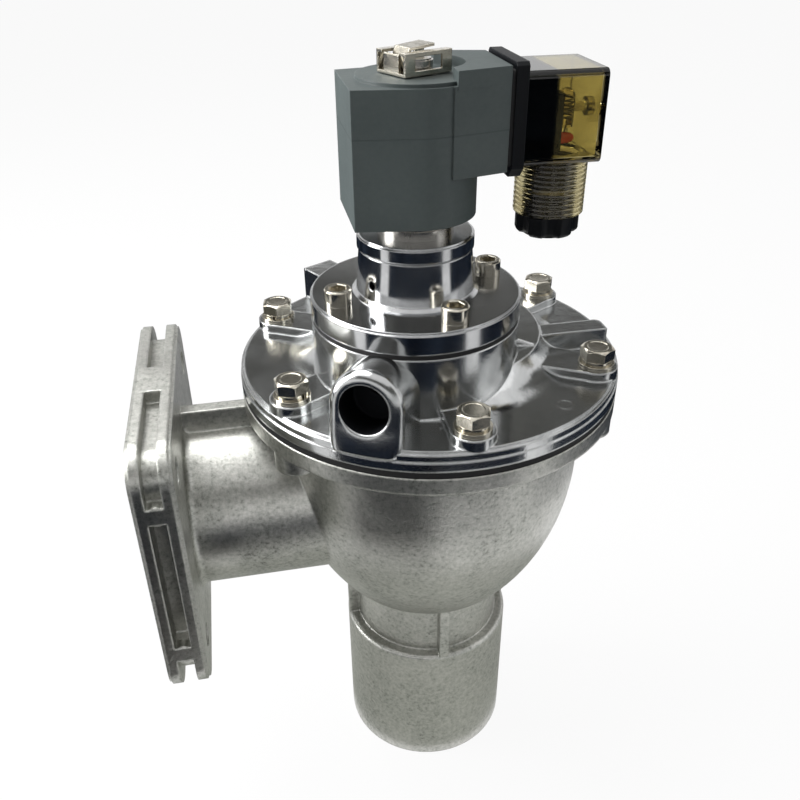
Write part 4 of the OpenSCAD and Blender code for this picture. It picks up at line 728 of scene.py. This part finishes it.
def coverBolts(material):
    # six hexagon bolts on their two washers: the sides are cut by a flat cone, height falls as the
    # corner stands out
    bolt = {"flat": 10.0 * mm, "head": 4.1 * mm, "topRing": 4.55 * mm, "cone": 0.55, "bevel": 0.15 * mm,
            "dish": 3.5 * mm, "shank": 3 * mm, "depth": 22 * mm, "washers": 2.6 * mm, "reach": 59.2 * mm,
            "turns": (12, 31, 4, 47, 22, 38)}
    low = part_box("cover_flat_washers")[0][2] + bolt["washers"]
    sides = 96
    corner = hexRadius(sides, bolt["flat"])
    top = low + bolt["head"]
    edge = top - (corner - bolt["topRing"]) * bolt["cone"]
    profile = [(bolt["shank"], low - bolt["depth"]), (bolt["shank"], low), (corner - bolt["bevel"], low),
               (corner, low + bolt["bevel"]), (corner, edge), (bolt["topRing"], top), (bolt["dish"], top),
               (bolt["dish"] - 0.2 * mm, top - 0.14 * mm), (0.4 * mm, top - 0.18 * mm)]
    angle = np.radians(np.arange(6) * 60 - 90)
    places = np.stack([bolt["reach"] * np.cos(angle), bolt["reach"] * np.sin(angle), 0 * angle], -1)
    made = turnedPieces("hexBolts", profile, sides, places, np.radians(bolt["turns"]), material,
                        "valve")
    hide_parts("cover_bolts")


def pilotScrews(material):
    # four socket-head screws: round head with a chamfer and a hexagon socket
    screw = {"head": 4.35 * mm, "height": 5 * mm, "chamfer": 0.45 * mm, "socket": 5 * mm,
             "socketDepth": 3 * mm, "socketBevel": 0.25 * mm, "shank": 2.05 * mm, "depth": 17 * mm,
             "reach": 27 * mm, "turn": 14, "turns": (10, 40, 25, 55)}
    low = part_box("pilot_cover_screws")[1][2] - screw["height"]
    top = low + screw["height"]
    sides = 72
    socket = hexRadius(sides, screw["socket"])
    floor = top - screw["socketDepth"]
    profile = [(screw["shank"], low - screw["depth"]), (screw["shank"], low), (screw["head"], low),
               (screw["head"], top - screw["chamfer"]), (screw["head"] - screw["chamfer"], top),
               (socket + screw["socketBevel"], top), (socket, top - screw["socketBevel"]), (socket, floor),
               (0.3 * mm, floor - 0.6 * mm)]
    angle = np.radians(np.arange(4) * 90 + screw["turn"])
    places = np.stack([stageAxis[0] + screw["reach"] * np.cos(angle),
                       stageAxis[1] + screw["reach"] * np.sin(angle), 0 * angle], -1)
    made = turnedPieces("socketScrews", profile, sides, places, np.radians(screw["turns"]), material,
                        "valve")
    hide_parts("pilot_cover_screws")


def portRim(material):
    # the cast skin of the exhaust port: round the bore, each angle has a distance to the arch's
    # outline (a circle above, a box below), and the rows run out to it; its edge is a quarter
    # round. Towards the foot, the flat front bends over to the cylinder of the cover's rim
    port = {"half": 11.9 * mm, "foot": 15 * mm, "round": 3.2 * mm, "back": 30 * mm, "bore": portRadius,
            "lip": 0.35 * mm, "proud": 0.05 * mm, "frontRows": 14, "edgeRows": 9, "rimRadius": 67.05 * mm,
            "bendTop": 191 * mm, "bendFoot": 181 * mm}
    phi = np.linspace(0, 2 * np.pi, 193)[:-1]
    c, d = np.abs(np.cos(phi)) + 1e-9, np.abs(np.sin(phi)) + 1e-9

    def outline(half):
        return np.where(np.sin(phi) > 0, half, np.minimum(half / c, port["foot"] / d))

    bore = port["bore"] + 0 * phi
    flat = outline(port["half"] - port["round"])
    t = np.linspace(0, 1, port["frontRows"])[:, None]
    k = np.linspace(0, np.pi / 2, port["edgeRows"])[1:]
    rows = np.concatenate([[bore - port["proud"], bore - port["proud"]],
                           (1 - t) * (bore + port["lip"]) + t * flat,
                           [outline(port["half"] - port["round"] * (1 - np.sin(a))) for a in k],
                           [outline(port["half"])]])
    deep = np.concatenate([[-4 * mm, -0.4 * mm], port["proud"] + 0 * t[:, 0],
                           port["proud"] - port["round"] * (1 - np.cos(k)), [-port["back"]]])[:, None, None]
    out = np.array(portAxis)
    side = np.cross([0, 0, 1], out)
    side /= np.linalg.norm(side)
    up = np.cross(out, side)
    aside, above = rows * np.cos(phi), rows * np.sin(phi)
    points = np.array(portFace) + aside[..., None] * side + above[..., None] * up
    away = np.hypot(points[..., 0], points[..., 1])
    share = np.clip((port["bendTop"] - points[..., 2]) / (port["bendTop"] - port["bendFoot"]), 0, 1)
    share = share * share * (3 - 2 * share)
    points[..., :2] *= (1 + share * (port["rimRadius"] / away - 1))[..., None]
    points = points + deep * out
    faces = ringFaces(len(rows), len(phi))[:, ::-1]
    newPiece("portSkin", points.reshape(-1, 3), faces.tolist(), material, "valve")


def lobedNut(material):
    # gland nut: a turned profile whose grip has lobes, and between them the radius falls by a
    # rounded comb of the angle; a spigot above it goes into the barrel, and a blind hole stands
    # for the cable's way
    low, high = (np.array(c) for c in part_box("gland_nut"))
    nut = {"lobes": 6, "notch": 1.5 * mm, "turn": -11, "hole": 4.6 * mm, "spigot": 7.0 * mm,
           "spigotRadius": 8 * mm}
    sides = 144
    middle = (low + high) / 2
    full = (high[0] - low[0]) / 2
    angle = np.arange(sides) * 2 * np.pi / sides
    comb = np.clip(-np.cos(angle * nut["lobes"]) + 0.25, 0, 1) ** 0.7 * nut["notch"]
    grip = full - comb
    foot, end = low[2], high[2]
    top = foot + (end - foot - nut["spigot"])
    profile = [(0.4 * mm, top), (nut["hole"], top), (nut["hole"], foot), (full - 2.6 * mm, foot),
               (grip - 1.2 * mm, foot + 0.3 * mm), (grip - 0.3 * mm, foot + 1.1 * mm),
               (grip, foot + 1.8 * mm), (grip, top - 0.7 * mm), (grip - 0.4 * mm, top - 0.3 * mm),
               (full - 2.2 * mm, top - 0.25 * mm), (nut["spigotRadius"], top - 0.25 * mm),
               (nut["spigotRadius"], end - 0.4 * mm), (nut["spigotRadius"] - 0.4 * mm, end),
               (nut["hole"] + 1.2 * mm, end), (0.4 * mm, end)]
    made = turnedPieces("lobedNut", profile, sides, [[middle[0], middle[1], 0]], np.radians([nut["turn"]]),
                        material, "coil")
    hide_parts("gland_nut")


def terminalShroud(material):
    # thin hood inside the amber housing round the terminals: a U with rounded corners, open below,
    # carried along the coil's arm; outer and inner skins stand a wall apart
    low, high = (np.array(c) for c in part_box("connector_housing"))
    hood = {"gap": 1.75 * mm, "wall": 0.7 * mm, "length": 8.9 * mm, "corner": 1.2 * mm, "inset": 3.8 * mm,
            "floor": low[2] + 19.4 * mm}
    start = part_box("connector_base")[0][0] + hood["inset"]
    middleY, half = (low[1] + high[1]) / 2, (high[1] - low[1]) / 2 - hood["gap"]
    roof = high[2] - hood["gap"]
    turn = np.linspace(0, np.pi / 2, 9)

    def section(inset):
        r = hood["corner"] - inset
        y = np.concatenate([[half - inset], half - inset - r + r * np.cos(turn),
                            -(half - inset - r) - r * np.sin(turn), [-(half - inset)]])
        z = np.concatenate([[hood["floor"]], roof - inset - r + r * np.sin(turn),
                            roof - inset - r + r * np.cos(turn), [hood["floor"]]])
        return np.stack([y + middleY, z], -1)

    loop = np.concatenate([section(0), section(hood["wall"])[::-1]])
    count = len(loop)
    stops = (start, start + hood["length"])
    ends = np.stack([np.concatenate([np.full((count, 1), x), loop], 1) for x in stops])
    here = np.arange(count)
    after = (here + 1) % count
    walls = np.stack([here, after, after + count, here + count], -1)
    strip = np.arange(count // 2 - 1)
    cap = np.stack([strip, count - 1 - strip, count - 2 - strip, strip + 1], -1)
    faces = np.concatenate([walls[:, ::-1], cap[:, ::-1], cap + count])
    newPiece("terminalShroud", ends.reshape(-1, 3), faces.tolist(), material, "coil",
             smooth=False)


bright = nickelPlate()
coverBolts(bright)
pilotScrews(bright)
portRim(nodes["valve_cover"].data.materials[0])
lobedNut(blackPlastic)
terminalShroud(blackPlastic)
print("bolts, screws, nut, shroud and port skin made")
tinned = plainMetal("tinnedWire", "#4c4b49", "#7d7b77", grain=1.5 * mm, roughLow=0.3, roughHigh=0.5)
lampWires(tinned)
redLens(redPlastic)
closingSprings(nodes["main_spring"].data.materials[0])
print("wires, lens and springs made")

putCamera()
putStudio()
bpy.context.scene.view_settings.view_transform = "Standard"
print("camera and studio ready")
